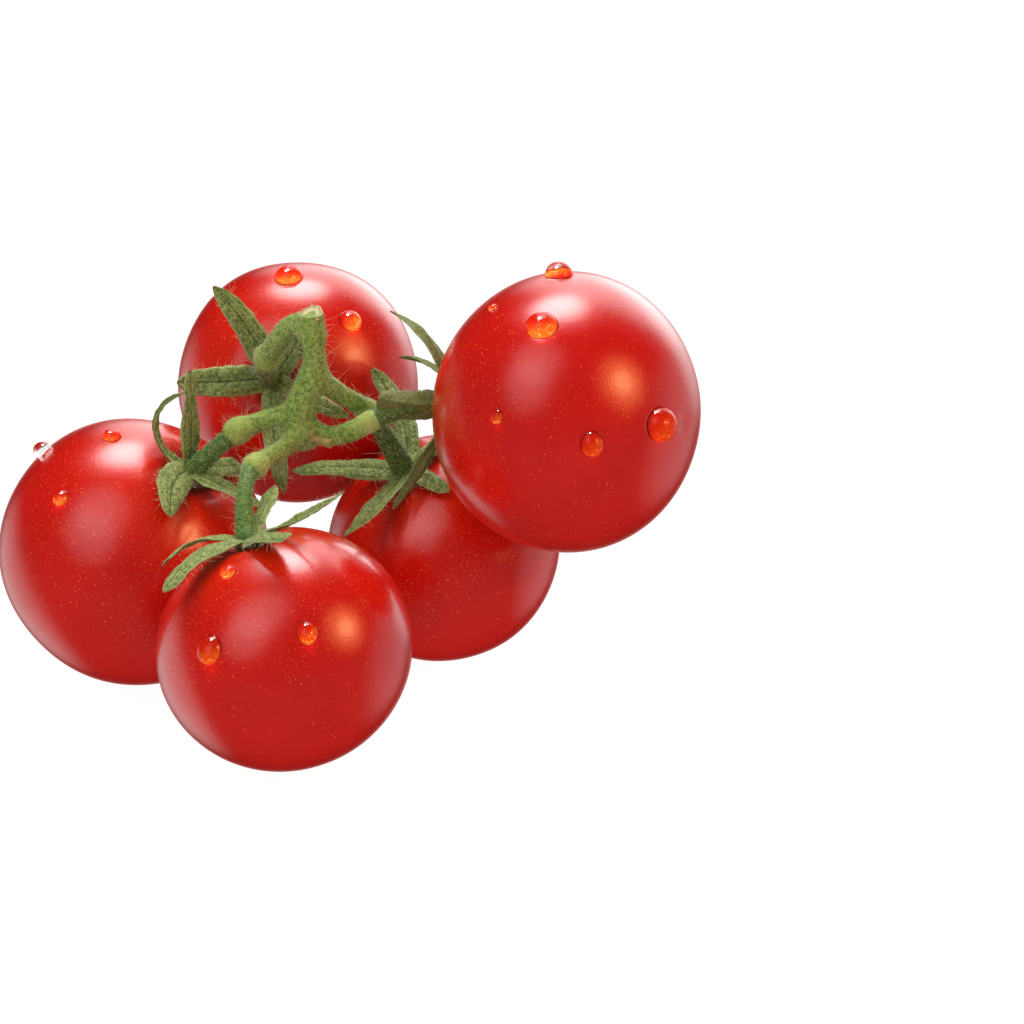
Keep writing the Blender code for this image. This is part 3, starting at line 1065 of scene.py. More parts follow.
@dataclass(frozen=True)
class HairCoat:
    """A coat of hairs on a surface."""

    per_mm2: float
    length: tuple[float, float]
    thickness: float
    lean: float
    curl: float
    joints: int = 3
    sides: int = 3
    taper: float = 0.7
    sunk: float = 0.05

    def grow(self, roots: np.ndarray, normals: np.ndarray, draw: np.random.Generator) -> Skin:
        """Grow one hair at each root.

        Args:
            roots: where the hairs stand.
            normals: the surface's direction out at each root.
            draw: the seeded random draws.

        Returns:
            All hairs as closed spikes.
        """
        count = len(roots)
        drift = draw.normal(size=(count, 3))
        first = normals + self.lean * drift
        first /= np.linalg.norm(first, axis=1)[:, None]
        bend = draw.normal(size=(count, 3)) * self.curl
        length = draw.uniform(*self.length, size=count)[:, None]
        side = np.cross(first, drift)
        side /= np.linalg.norm(side, axis=1)[:, None] + TINY
        over = np.cross(first, side)
        rings = []
        for i in range(self.joints + 1):
            t = i / (self.joints + 1)
            middle = roots + length * (first * t + bend * t * t) - self.sunk * normals * (i == 0)
            girth = self.thickness / 2 * (1 - self.taper * t)
            for turn in turns(self.sides):
                rings.append(middle + girth * (side * math.cos(turn) + over * math.sin(turn)))
        rings.append(roots + length * (first + bend))
        corners = np.stack(rings, axis=1).reshape(-1, 3)
        each = len(rings)
        pattern = [lid(0, self.sides)]
        for i in range(self.joints):
            pattern += band((i + 1) * self.sides, i * self.sides, self.sides, start=1)
        pattern += fan(each - 1, self.joints * self.sides, self.sides)
        faces = [tuple(n * each + i for i in face) for n in range(count) for face in pattern]
        return Skin(corners, faces)

    def cover(self, mesh: bpy.types.Mesh, draw: np.random.Generator) -> Skin:
        """Grow hairs all over a mesh.

        Args:
            mesh: the surface, in metres.
            draw: the seeded random draws.

        Returns:
            All hairs.
        """
        mesh.calc_loop_triangles()
        corners = np.array([v.co for v in mesh.vertices]) / MM
        normals = np.array([v.normal for v in mesh.vertices])
        triangles = np.array([t.vertices[:] for t in mesh.loop_triangles])
        a, b, c = (corners[triangles[:, i]] for i in range(3))
        area = np.linalg.norm(np.cross(b - a, c - a), axis=1) / 2
        count = int(area.sum() * self.per_mm2)
        chosen = draw.choice(len(triangles), size=count, p=area / area.sum())
        u, v = draw.uniform(size=(2, count, 1))
        u, v = np.where(u + v > 1, 1 - u, u), np.where(u + v > 1, 1 - v, v)
        roots = a[chosen] + u * (b[chosen] - a[chosen]) + v * (c[chosen] - a[chosen])
        outward = normals[triangles[chosen]].mean(axis=1)
        outward /= np.linalg.norm(outward, axis=1)[:, None]
        return self.grow(roots, outward, draw)


# The hairs are drawn somewhat thicker than real ones, so that a pixel of the render shows them.
FUZZ = HairCoat(per_mm2=5.0, length=(0.15, 0.50), thickness=0.04, lean=0.55, curl=0.15, joints=1)
LONG_HAIR = HairCoat(per_mm2=0.36, length=(0.9, 2.4), thickness=0.05, lean=0.35, curl=0.4)
EDGE_HAIR = HairCoat(per_mm2=1.0, length=(0.5, 1.5), thickness=0.045, lean=0.45, curl=0.3)
LEAF_FUZZ = HairCoat(per_mm2=2.4, length=(0.16, 0.42), thickness=0.04, lean=0.7, curl=0.1, joints=1)


@dataclass(frozen=True)
class Sepal:
    """One sepal: its direction round the calyx from the top, and how it rises, bends and folds."""

    direction: float
    length: float
    width: float
    rise: float
    end_rise: float
    bend: float
    fold: float
    twist: float
    fullness: float
    curl: float = -45
    stations: int = 8
    rows: int = 60
    shares: int = 20
    base_rim: float = 0.3
    start: float = 0.7
    base_width: float = 0.82
    base_spread: float = 0.2
    tip_width: float = 0.14
    tip_roundness: float = 0.75
    rib_thickness: float = 0.50
    edge_thickness: float = 0.16
    edge_wave: float = 0.22
    waves: float = 1.6
    wave_lag: float = 2.1
    raggedness: float = 0.06
    ragged_rates: Span = (23.0, 14.0)
    tip_start: float = 0.9
    tip_share: float = 0.55
    bluntness: int = 24
    rib_width: float = 0.22
    rib_taper: float = 0.6
    flesh_thickness: float = 0.14
    edge_roundness: int = 8
    end_thickness: float = 0.35
    vein_depth: float = 0.10
    vein_width: float = 0.10
    side_vein_depth: float = 0.05
    side_vein_rate: float = 9.0
    side_vein_spread: float = 0.8
    vein_fade: float = 0.7
    puckers: tuple[Point, ...] = ((0.16, 1.7, 0.0), (0.09, 0.8, 3.0))
    hair_reach: Span = (0.03, 0.95)
    hair_droop: float = 0.2

    def rib(self, fruit: Fruit) -> tuple[np.ndarray, np.ndarray, np.ndarray, np.ndarray]:
        """Follow the sepal's middle.

        Args:
            fruit: the fruit that it grows on.

        Returns:
            Shares of the length, points, directions across and directions out of the blade.
        """
        axis = fruit.axis()
        up = (Vector((0, 0, 1)) - axis * axis.z).normalized()
        left = axis.cross(up)
        point = fruit.seat() + axis * self.base_rim
        knots = []
        for i in range(self.stations + 1):
            outward, along, _ = self.directions(axis, up, left, i / self.stations)
            if i == 0:
                point = point + outward * self.start
            knots.append(point.copy())
            point = point + along * self.length / self.stations
        shares = np.linspace(0, 1, self.rows + 1)
        points = ease(np.array(knots), shares * self.stations)
        across, out = [], []
        for s in shares:
            _, along, normal = self.directions(axis, up, left, s)
            spin = Matrix.Rotation(math.radians(self.twist * s), 3, along)
            across.append(spin @ along.cross(normal))
            out.append(spin @ normal)
        return shares, points, np.array(across), np.array(out)

    def directions(
        self, axis: Vector, up: Vector, left: Vector, s: float
    ) -> tuple[Vector, Vector, Vector]:
        """Point the blade at a share of its length.

        Args:
            axis: the fruit's axis.
            up: the top direction round the calyx.
            left: the left direction round the calyx.
            s: share of the length.

        Returns:
            The direction away from the axis, along the rib, and out of the blade.
        """
        turn = math.radians(self.direction + self.bend * s)
        rise = math.radians(self.rise + (self.end_rise - self.rise) * s)
        outward = up * math.cos(turn) + left * math.sin(turn)
        along = outward * math.cos(rise) + axis * math.sin(rise)
        normal = axis * math.cos(rise) - outward * math.sin(rise)
        return outward, along, normal

    def half_width(self, s: np.ndarray) -> np.ndarray:
        """Give the blade's half width along its length.

        Args:
            s: shares of the length.

        Returns:
            The half widths.
        """
        belly = 1 - (1 - self.base_width) * np.exp(-((s / self.base_spread) ** 2))
        taper = (1 - s**self.fullness).clip(0) ** self.tip_roundness
        return self.width / 2 * (self.tip_width + (1 - self.tip_width) * belly * taper)

    def section(self, u: np.ndarray) -> tuple[np.ndarray, np.ndarray]:
        """Follow the blade's folded and curled section.

        Args:
            u: place across, from -1 at one edge to 1 at the other.

        Returns:
            How far across and how high the blade is there, in half widths.
        """
        fold, curl = math.radians(self.fold), math.radians(self.curl)
        slope = fold + curl * np.abs(u)
        across = np.sign(u) * (np.sin(slope) - math.sin(fold)) / curl
        return across, (math.cos(fold) - np.cos(slope)) / curl

    def blade(self, fruit: Fruit, phase: float) -> Skin:
        """Make the blade with its sunk veins, puckers and waved edges.

        Args:
            fruit: the fruit that it grows on.
            phase: where the wave of its edges starts.

        Returns:
            The closed blade. blade holds the place across, along and through it.
        """
        s, points, across, out = self.rib(fruit)
        u = np.linspace(-1, 1, self.shares + 1)
        u = np.concatenate([u, np.linspace(1, -1, self.shares + 1)[1:-1]])
        side = np.concatenate([np.ones(self.shares + 1), -np.ones(self.shares - 1)])
        side[[0, self.shares]] = 0
        s, u, side = np.broadcast_arrays(s[:, None], u[None, :], side[None, :])
        quick, slow = self.ragged_rates
        ragged = 1 + self.raggedness * np.sin(quick * s + phase) * np.sin(slow * s + 2 * phase)
        tip = np.sqrt(((1 - s) / (1 - self.tip_start)).clip(0, 1))
        tip = np.where(s > self.tip_start, self.tip_share + (1 - self.tip_share) * tip, 1.0)
        half = self.half_width(s) * ragged * tip
        narrow = np.minimum(1.0, half)
        aside, lift = self.section(u)
        wave = self.edge_wave * u**2
        wave = wave * np.sin(2 * math.pi * self.waves * s + phase + self.wave_lag * u)
        body = self.rib_thickness * np.exp(-((u / self.rib_width) ** 2))
        body = body * (1 - self.rib_taper * s) * (side < 0)
        thick = (self.edge_thickness + self.flesh_thickness * (1 - u**2) + body) / 2
        thick = thick * np.sqrt((1 - u**self.edge_roundness).clip(0))
        end = np.sqrt((1 - s).clip(0)) * (1 - s**self.bluntness)
        thick = thick * np.minimum(1, self.end_thickness + end)
        veins = self.vein_depth * np.exp(-((u / self.vein_width) ** 2)) * (side > 0)
        ridges = np.cos(self.side_vein_rate * math.pi * np.abs(u) ** self.side_vein_spread)
        veins = veins + self.side_vein_depth * ridges * (1 - u**2) * narrow
        height = half * lift + wave * narrow + side * thick - veins * (1 - self.vein_fade * s)
        place = points[:, None] + across[:, None] * (half * aside)[..., None]
        place = place + out[:, None] * height[..., None]
        corners = place.reshape(-1, 3)
        pucker = sum(high * wobble(corners, mm, phase + shift) for high, mm, shift in self.puckers)
        ring = u.shape[1]
        corners = corners + np.repeat(out, ring, axis=0) * pucker[:, None]
        faces: list[Face] = []
        for i in range(self.rows):
            faces += band((i + 1) * ring, i * ring, ring, start=2)
        faces += [tuple(range(ring)), lid(self.rows * ring, ring)]
        return Skin(corners, faces, {"blade": np.stack([u, s, side], axis=-1).reshape(-1, 3)})

    def edge_hairs(self, fruit: Fruit, draw: np.random.Generator) -> Skin:
        """Grow hairs along both edges.

        Args:
            fruit: the fruit that it grows on.
            draw: the seeded random draws.

        Returns:
            The hairs.
        """
        count = int(self.length * 2 * EDGE_HAIR.per_mm2)
        s, points, across, out = self.rib(fruit)
        where = draw.uniform(*self.hair_reach, size=count) * (len(s) - 1)
        i = where.astype(int)
        sign = draw.choice([-1.0, 1.0], size=count)[:, None]
        half = self.half_width(s[i])[:, None]
        reach, lift = self.section(np.ones(1))
        rim = across[i] * sign * reach + out[i] * lift
        slope = math.radians(self.fold + self.curl)
        aside = across[i] * sign * math.cos(slope) + out[i] * math.sin(slope)
        return EDGE_HAIR.grow(points[i] + rim * half, aside - self.hair_droop * out[i], draw)


@dataclass
class Calyx:
    """A fruit's own stalk from the knuckle on, its small base and its five sepals."""

    fruit: Fruit
    knuckle: Station
    stalk: list[Station]
    sepals: list[Sepal]
    base_radius: float = 2.1
    base_clearance: float = 0.5
    base_profile: tuple[Span, ...] = ((0.35, 0.50), (0.75, 0.84), (1.0, 0.90), (1.12, 0.8))
    base_step: float = 0.3
    stalk_flare: float = 0.8
    root_reach: float = 1.9
    root_radii: Span = (0.30, 0.08)
    root_sink: float = 0.12
    root_points: int = 3
    blend: float = 0.55
    bump: float = 0.05
    bump_mm: float = 1.1
    phase_step: float = 1.7

    def stalk_line(self) -> np.ndarray:
        """Centre line of the stalk from inside the knuckle to the seat."""
        end = (*self.fruit.seat(), self.base_radius * self.stalk_flare)
        return smooth_line([self.knuckle, *self.stalk, end])

    def base_line(self) -> np.ndarray:
        """Follow the small base out of the dimple.

        Returns:
            Points with radii.
        """
        axis = self.fruit.axis()
        foot = self.fruit.dimple() + axis * self.base_clearance
        depth = (self.fruit.seat() - foot).length
        rows = [
            (*(foot + axis * depth * share), self.base_radius * width)
            for share, width in self.base_profile
        ]
        return smooth_line(rows, self.base_step)

    def root_lines(self) -> list[np.ndarray]:
        """Carry each sepal out of the base on a short rib.

        Returns:
            Points with radii for each sepal.
        """
        lines = []
        for sepal in self.sepals:
            s, points, _, out = sepal.rib(self.fruit)
            count = max(self.root_points, int(len(s) * self.root_reach / sepal.length))
            radii = np.linspace(*self.root_radii, count)
            lines.append(np.column_stack([points[:count] - self.root_sink * out[:count], radii]))
        return lines

    def build(
        self,
        stalk_finish: bpy.types.Material,
        leaf_finish: bpy.types.Material,
        hair_finish: bpy.types.Material,
        draw: np.random.Generator,
    ) -> None:
        """Make the stalk, the sepals and their hairs.

        Args:
            stalk_finish: material of the stalk and base.
            leaf_finish: material of the sepals.
            hair_finish: material of the hairs.
            draw: the seeded random draws.
        """
        number = self.fruit.number
        node = f"calyx_{number}"
        lines = [self.stalk_line(), self.base_line(), *self.root_lines()]
        green = GrownTogether(lines, blend=self.blend)
        stalk = green.rough_skin(self.bump, self.bump_mm, number).mesh(f"stalk_{number}")
        add_piece(stalk.name, stalk, stalk_finish, node)
        blades = [
            sepal.blade(self.fruit, i * self.phase_step + number)
            for i, sepal in enumerate(self.sepals)
        ]
        leaves = merge(blades).mesh(f"sepals_{number}")
        add_piece(leaves.name, leaves, leaf_finish, node)
        hairs = [FUZZ.cover(stalk, draw), LONG_HAIR.cover(stalk, draw)]
        hairs.append(LEAF_FUZZ.cover(leaves, draw))
        hairs.extend(sepal.edge_hairs(self.fruit, draw) for sepal in self.sepals)
        coat = merge(hairs).mesh(f"calyx_hairs_{number}")
        add_piece(coat.name, coat, hair_finish)


@dataclass(frozen=True)
class CutEnd:
    """The ragged cut face of the main stem, with its raised woody ring and sunk pith.

    Each wave round it is a height, a number of waves and a shift.
    """

    sides: int = 48
    rings: int = 12
    lean: Point = (-0.18, -0.34, 0.0)
    lift: float = 0.10
    skirt: float = 0.55
    overlap: float = 1.02
    wood: Point = (0.20, 0.80, 0.16)
    pith: Point = (-0.16, 0.0, 0.35)
    outline: tuple[Point, ...] = ((0.05, 3.0, 1.0), (0.03, 7.0, 0.0))
    crumbs: tuple[Point, ...] = ((0.06, 9.0, 2.0), (0.05, 17.0, 0.0))

    def build(
        self, top: np.ndarray, upward: np.ndarray, radius: float, finish: bpy.types.Material
    ) -> None:
        """Make the cut face.

        Args:
            top: middle of the cut.
            upward: direction out of the cut.
            radius: radius of the stem there.
            finish: material of the cut.
        """
        facing = np.array((Vector(upward) + Vector(self.lean)).normalized())
        side = np.cross(facing, (0.0, 1.0, 0.0))
        side /= np.linalg.norm(side)
        over = np.cross(facing, side)
        corners = [top - facing * self.lift]
        ring = [0.0]
        for i in range(1, self.rings + 1):
            share = i / self.rings
            level = self.lift - (self.skirt if i == self.rings else 0.0)
            for high, place, spread in (self.wood, self.pith):
                level += high * math.exp(-(((share - place) / spread) ** 2))
            for turn in turns(self.sides):
                ragged = 1 + sum(a * math.sin(n * turn + shift) for a, n, shift in self.outline)
                crumbled = sum(a * math.sin(n * turn + shift * i) for a, n, shift in self.crumbs)
                spoke = side * math.cos(turn) + over * math.sin(turn)
                out = spoke * radius * share * ragged * self.overlap
                corners.append(top + out + facing * (level + crumbled * share))
                ring.append(share)
        skin = Skin(np.array(corners), dome(self.rings, self.sides), {"ring": np.array(ring)})
        mesh = skin.mesh("cut_end")
        add_piece(mesh.name, mesh, finish)


@dataclass(frozen=True)
class DriedStub:
    """The withered stub of a dropped flower, and the pale bead at its root."""

    line: list[Station]
    bead: list[Station]
    line_step: float = 0.4
    line_voxel: float = 0.12
    bead_step: float = 0.2
    bead_voxel: float = 0.1
    wrinkle: float = 0.12
    wrinkle_mm: float = 0.7

    def build(self, finish: bpy.types.Material) -> None:
        """Make both pieces.

        Args:
            finish: material of both.
        """
        grown = GrownTogether([smooth_line(self.line, self.line_step)], voxel=self.line_voxel)
        stub = grown.rough_skin(self.wrinkle, self.wrinkle_mm, SEED).mesh("dried_stub")
        add_piece(stub.name, stub, finish, "stem")
        round_bead = GrownTogether([smooth_line(self.bead, self.bead_step)], voxel=self.bead_voxel)
        bead = round_bead.skin().mesh("stub_bead")
        add_piece(bead.name, bead, finish)


@dataclass
class Stem:
    """The main stem with its cut end, its five arms as far as their knuckles, and a dried stub."""

    main: list[Station]
    arms: dict[int, list[Station]]
    stalks: dict[int, list[Station]]
    cut_end: CutEnd
    stub: DriedStub
    main_step: float = 0.6
    arm_step: float = 0.45
    blend: float = 1.6
    bump: float = 0.07
    bump_mm: float = 1.3
    knuckle_swell: float = 0.5
    faint_swell: float = 0.12
    faint_knuckle: int = 5
    knuckle_reach: float = 1.1
    knuckle_end: float = 1.2
    lip: float = 0.06
    pale_reach: float = 2.3
    pale_share: float = 0.75
    pale_edge: int = 4

    def arm_line(self, number: int) -> np.ndarray:
        """Follow an arm through its swollen knuckle, to the lip that the fruit's stalk stands in.

        Args:
            number: the fruit's number.

        Returns:
            Points with radii.
        """
        line = smooth_line([*self.arms[number], *self.stalks[number]], self.arm_step)
        middle = np.array(self.arms[number][-1][:3])
        distance = np.linalg.norm(line[:, :3] - middle, axis=1)
        swell = self.faint_swell if number == self.faint_knuckle else self.knuckle_swell
        line[:, 3] += swell * np.exp(-((distance / self.knuckle_reach) ** 2)) + self.lip
        inner = np.arange(len(line)) <= distance.argmin()
        return line[inner | (distance < self.knuckle_end)]

    def build(
        self,
        bark: bpy.types.Material,
        cut: bpy.types.Material,
        dried: bpy.types.Material,
        hair: bpy.types.Material,
        draw: np.random.Generator,
    ) -> None:
        """Make the stem, its cut end, the dried stub and the hairs.

        Args:
            bark: material of the green skin.
            cut: material of the cut end.
            dried: material of the stub.
            hair: material of the hairs.
            draw: the seeded random draws.
        """
        main = smooth_line(self.main, self.main_step)
        lines = [main, *(self.arm_line(number) for number in self.arms)]
        skin = GrownTogether(lines, blend=self.blend).rough_skin(self.bump, self.bump_mm, SEED)
        top = main[-1, :3]
        upward = main[-1, :3] - main[-2, :3]
        upward /= np.linalg.norm(upward)
        past = ((skin.corners - top) @ upward).clip(0)
        skin.corners -= past[:, None] * upward
        nearness = np.zeros(len(skin.corners))
        for stations in self.arms.values():
            distance = np.linalg.norm(skin.corners - np.array(stations[-1][:3]), axis=1)
            near = np.exp(-((distance / self.pale_reach) ** self.pale_edge))
            nearness = np.maximum(nearness, near)
        skin.values["knuckle"] = nearness * self.pale_share
        vine = skin.mesh("vine")
        add_piece(vine.name, vine, bark, "stem")
        self.cut_end.build(top, upward, main[-1, 3], cut)
        self.stub.build(dried)
        coat = merge([FUZZ.cover(vine, draw), LONG_HAIR.cover(vine, draw)]).mesh("vine_hairs")
        add_piece(coat.name, coat, hair)


class SmoothGround:
    """A fruit's skin round one point, evened out so that a drop on it has a clean gloss.

    The fit looks at a square of places, up to EACH_WAY steps of STEP times the reach from the
    point, with rays that start OUTSIDE the fruit.
    """

    EACH_WAY = 3
    STEP = 0.25
    OUTSIDE = 60.0

    def __init__(self, skin: BVHTree, middle: Vector, hit: Vector, reach: float) -> None:
        """Fit a smooth surface to the skin.

        Args:
            skin: the fruit's surface, in metres.
            middle: the fruit's middle.
            hit: point on the skin.
            reach: how far round the point the fit goes.
        """
        self.middle, self.hit = middle, hit
        self.normal = (hit - middle).normalized()
        down = Vector((0, 0, -1))
        self.down = (down - self.normal * down.dot(self.normal)).normalized()
        self.across = self.down.cross(self.normal)
        terms, radii = [], []
        steps = range(-self.EACH_WAY, self.EACH_WAY + 1)
        for i in steps:
            for j in steps:
                shift = (self.across * i + self.down * j) * reach * self.STEP
                way = (hit + shift - middle).normalized()
                foot, _, _, _ = skin.ray_cast((middle + way * self.OUTSIDE) * MM, -way)
                if foot is not None:
                    terms.append(self.terms(shift))
                    radii.append((foot / MM - middle).length)
        self.fit = np.linalg.lstsq(np.array(terms), np.array(radii), rcond=None)[0]

    def terms(self, shift: Vector) -> tuple[float, ...]:
        """Terms of the fitted surface at a place beside the point."""
        left, low = shift.dot(self.across), shift.dot(self.down)
        return (1.0, left, low, left * left, left * low, low * low)

    def under(self, shift: Vector) -> tuple[Vector, Vector]:
        """Find the skin beside the point.

        Args:
            shift: the way there from the point.

        Returns:
            The place on the skin, and the way out of it.
        """
        way = (self.hit + shift - self.middle).normalized()
        return self.middle + way * float(np.dot(self.fit, self.terms(shift))), way


@dataclass(frozen=True)
class Drop:
    """A drop of water: the fruit that it lies on, where the photograph shows it, and its size.

    glow is how much painted caustic light and painted glow the sheet under it gets.
    """

    fruit: int
    pixel: tuple[float, float]
    width: float
    tall: float = 1.0
    glow: float = 1.0
    contact: float = 78.0
    sag: float = 0.08
    rings: int = 26
    sides: int = 64
    sunk: float = 0.12
    pad_rings: int = 14
    pad_sides: int = 48
    pad_share: float = 0.97
    pad_lift: float = 0.03

    def build(
        self,
        index: int,
        skin: BVHTree,
        camera: ViewPoint,
        finish: bpy.types.Material,
        wet: bpy.types.Material,
    ) -> bpy.types.Object:
        """Set the drop on the skin.

        Args:
            index: number of the drop.
            skin: the fruit's surface, for finding points on it.
            camera: the view that its place was read in.
            finish: the water's material.
            wet: the material of the sheet beneath, with painted caustic light and a painted dark
                rim.

        Returns:
            The piece.
        """
        origin, ray = camera.ray(self.pixel)
        middle = Vector(FRUITS[self.fruit].middle)
        hit, _, _, _ = skin.ray_cast(origin * MM, ray)
        if hit is None:
            nearest = origin + ray * (middle - origin).dot(ray)
            hit, _, _, _ = skin.find_nearest(nearest * MM)
        ground = SmoothGround(skin, middle, hit / MM, self.width)
        down, across = ground.down, ground.across
        contact = math.radians(self.contact)
        widest = 1.0 if contact > math.pi / 2 else math.sin(contact)
        ball = self.width / 2 / widest
        top = ball * (1 - math.cos(contact))
        foot, out_of = ground.under(down * self.sag * top)
        corners = [foot + out_of * top]
        lower = []
        for i in range(1, self.rings + 1):
            lean = contact * i / self.rings
            out = ball * math.sin(lean)
            height = ball * (math.cos(lean) - math.cos(contact))
            for turn in turns(self.sides):
                tilt = math.sin(turn)
                shift = across * math.cos(turn) * out + down * (tilt * out * self.tall)
                shift += down * self.sag * height
                foot, out_of = ground.under(shift)
                rise = height * (1 + self.sag * tilt * out / ball)
                corners.append(foot + out_of * rise)
                if i == self.rings:
                    lower.append(foot - out_of * self.sunk)
        corners = np.array([tuple(corner) for corner in [*corners, *lower]])
        faces = dome(self.rings + 1, self.sides)
        cap = Skin(corners, faces, {"spot": np.zeros_like(corners)})
        both = merge([cap, self.pad(ground, ball * math.sin(contact))])
        both.values["glow"] = np.full(len(both.corners), self.glow)
        mesh = both.mesh(f"water_drop_{index}")
        piece = add_piece(mesh.name, mesh, finish)
        # The sheet under the cap takes the material with painted caustic light.
        mesh.materials.append(wet)
        under = np.arange(len(mesh.polygons)) >= len(faces)
        mesh.polygons.foreach_set("material_index", under.astype(np.int32))
        return piece

    def pad(self, ground: SmoothGround, reach: float) -> Skin:
        """Make the thin sheet on the skin under the drop, which carries the painted caustic light.

        Args:
            ground: the skin that the drop lies on.
            reach: radius of the foot.

        Returns:
            The closed patch. spot holds how far right, how far down and how far out a place is.
        """
        rings, sides = self.pad_rings, self.pad_sides
        above, below, spots = [], [], []
        for i in range(rings + 1):
            share = i / rings
            for turn in turns(sides if i else 1):
                aside, low = math.cos(turn) * share, math.sin(turn) * share
                shift = ground.across * aside + ground.down * (low * self.tall)
                foot, out_of = ground.under(shift * reach * self.pad_share)
                above.append(foot + out_of * self.pad_lift)
                below.append(foot - out_of * self.sunk)
                spots.append((-aside, low, share))
        count = len(above)
        faces = fan(0, 1, sides) + [face[::-1] for face in fan(count, count + 1, sides)]
        for i in range(rings - 1):
            high, low = 1 + i * sides, 1 + (i + 1) * sides
            faces += band(high, low, sides) + band(low + count, high + count, sides)
        rim = 1 + (rings - 1) * sides
        faces += band(rim, count + rim, sides)
        corners = np.array([tuple(corner) for corner in [*above, *below]])
        return Skin(corners, faces, {"spot": np.array(spots + spots)})


@dataclass(frozen=True)
class ViewPoint:
    """The photograph's camera: a long lens that looks down on the truss."""

    target: Point = (23.7, -10.7, 29.97)
    distance: float = 700.0
    elevation: float = 23.0
    mm_per_pixel: float = 0.1417
    picture: int = 1024
    sensor: float = 36.0
    clip: Span = (0.05, 20.0)

    def focal(self) -> float:
        """Focal length in pixels."""
        return self.distance / self.mm_per_pixel

    def place(self) -> Vector:
        """Camera's place in millimetres."""
        e = math.radians(self.elevation)
        return Vector(self.target) + Vector((0, -math.cos(e), math.sin(e))) * self.distance

    def ray(self, pixel: tuple[float, float]) -> tuple[Vector, Vector]:
        """Follow a pixel of the picture into the scene.

        Args:
            pixel: column and row in the picture.

        Returns:
            The ray's start in millimetres and its direction.
        """
        e = math.radians(self.elevation)
        forward = Vector((0, math.cos(e), -math.sin(e)))
        up = Vector((0, math.sin(e), math.cos(e)))
        half = self.picture / 2
        x, y = (pixel[0] - half) / self.focal(), (half - pixel[1]) / self.focal()
        return self.place(), (forward + Vector((1, 0, 0)) * x + up * y).normalized()

    def build(self) -> None:
        """Make the camera."""
        data = bpy.data.cameras.new("camera")
        data.sensor_width = self.sensor
        data.lens = self.focal() * self.sensor / self.picture
        data.clip_start, data.clip_end = self.clip
        camera = bpy.data.objects.new("camera", data)
        camera.location = self.place() * MM
        camera.rotation_euler = (math.radians(90 - self.elevation), 0, 0)
        bpy.context.scene.collection.objects.link(camera)
        bpy.context.scene.camera = camera


@dataclass(frozen=True)
class Softbox:
    """A studio lamp behind a cloth, aimed at the truss.

    A lamp that sparkles shows only in the drops, and one that doesn't only lights the truss.
    """

    name: str
    direction: Point
    distance: float
    width: float
    height: float
    watts: float
    sparkles: bool = False
    colour: str = "#FFFFFF"

    def build(self, aim: Vector, drops: bpy.types.Collection) -> None:
        """Make the lamp.

        Args:
            aim: point that it faces, in millimetres.
            drops: what a sparkling lamp shines on.
        """
        data = bpy.data.lights.new(self.name, "AREA")
        data.shape = "RECTANGLE"
        data.size, data.size_y = self.width * MM, self.height * MM
        data.energy = self.watts
        data.color = linear(self.colour)[:3]
        lamp = bpy.data.objects.new(self.name, data)
        toward = Vector(self.direction).normalized()
        lamp.location = (aim + toward * self.distance) * MM
        lamp.rotation_euler = toward.to_track_quat("Z", "Y").to_euler()
        lamp.visible_glossy = self.sparkles
        lamp.visible_diffuse = not self.sparkles
        lamp.visible_transmission = False
        if self.sparkles:
            lamp.light_linking.receiver_collection = drops
        bpy.context.scene.collection.objects.link(lamp)


@dataclass(frozen=True)
class Card:
    """A lit cloth or white card outside the picture, which only the gloss of the truss shows.

    Angles are in degrees: azimuth from straight behind to the right, elevation over the horizon,
    and how far round its middle the card is at full brightness and has faded away.
    """

    azimuth: float
    elevation: float
    full: float
    faded: float
    brightness: float
    colour: str = "#FFFFFF"

    def direction(self) -> Vector:
        """Point towards the card's middle.

        Returns:
            A unit vector.
        """
        turn, rise = math.radians(self.azimuth), math.radians(self.elevation)
        flat = math.cos(rise)
        return Vector((flat * math.sin(turn), flat * math.cos(turn), math.sin(rise)))

    def shown(self, tree: bpy.types.NodeTree, ahead: Socket) -> Socket:
        """Colour that the card adds in each direction.

        Args:
            tree: the world's node tree.
            ahead: the direction.

        Returns:
            The card's colour times its brightness there.
        """
        facing = add_node(tree, Kind.FACING, ahead, self.direction())
        rim, core = (math.cos(math.radians(angle)) for angle in (self.faded, self.full))
        share = add_node(tree, Kind.EASE, facing, rim, core, 0.0, self.brightness)
        return add_node(tree, Kind.DIMMED, linear(self.colour)[:3], share)


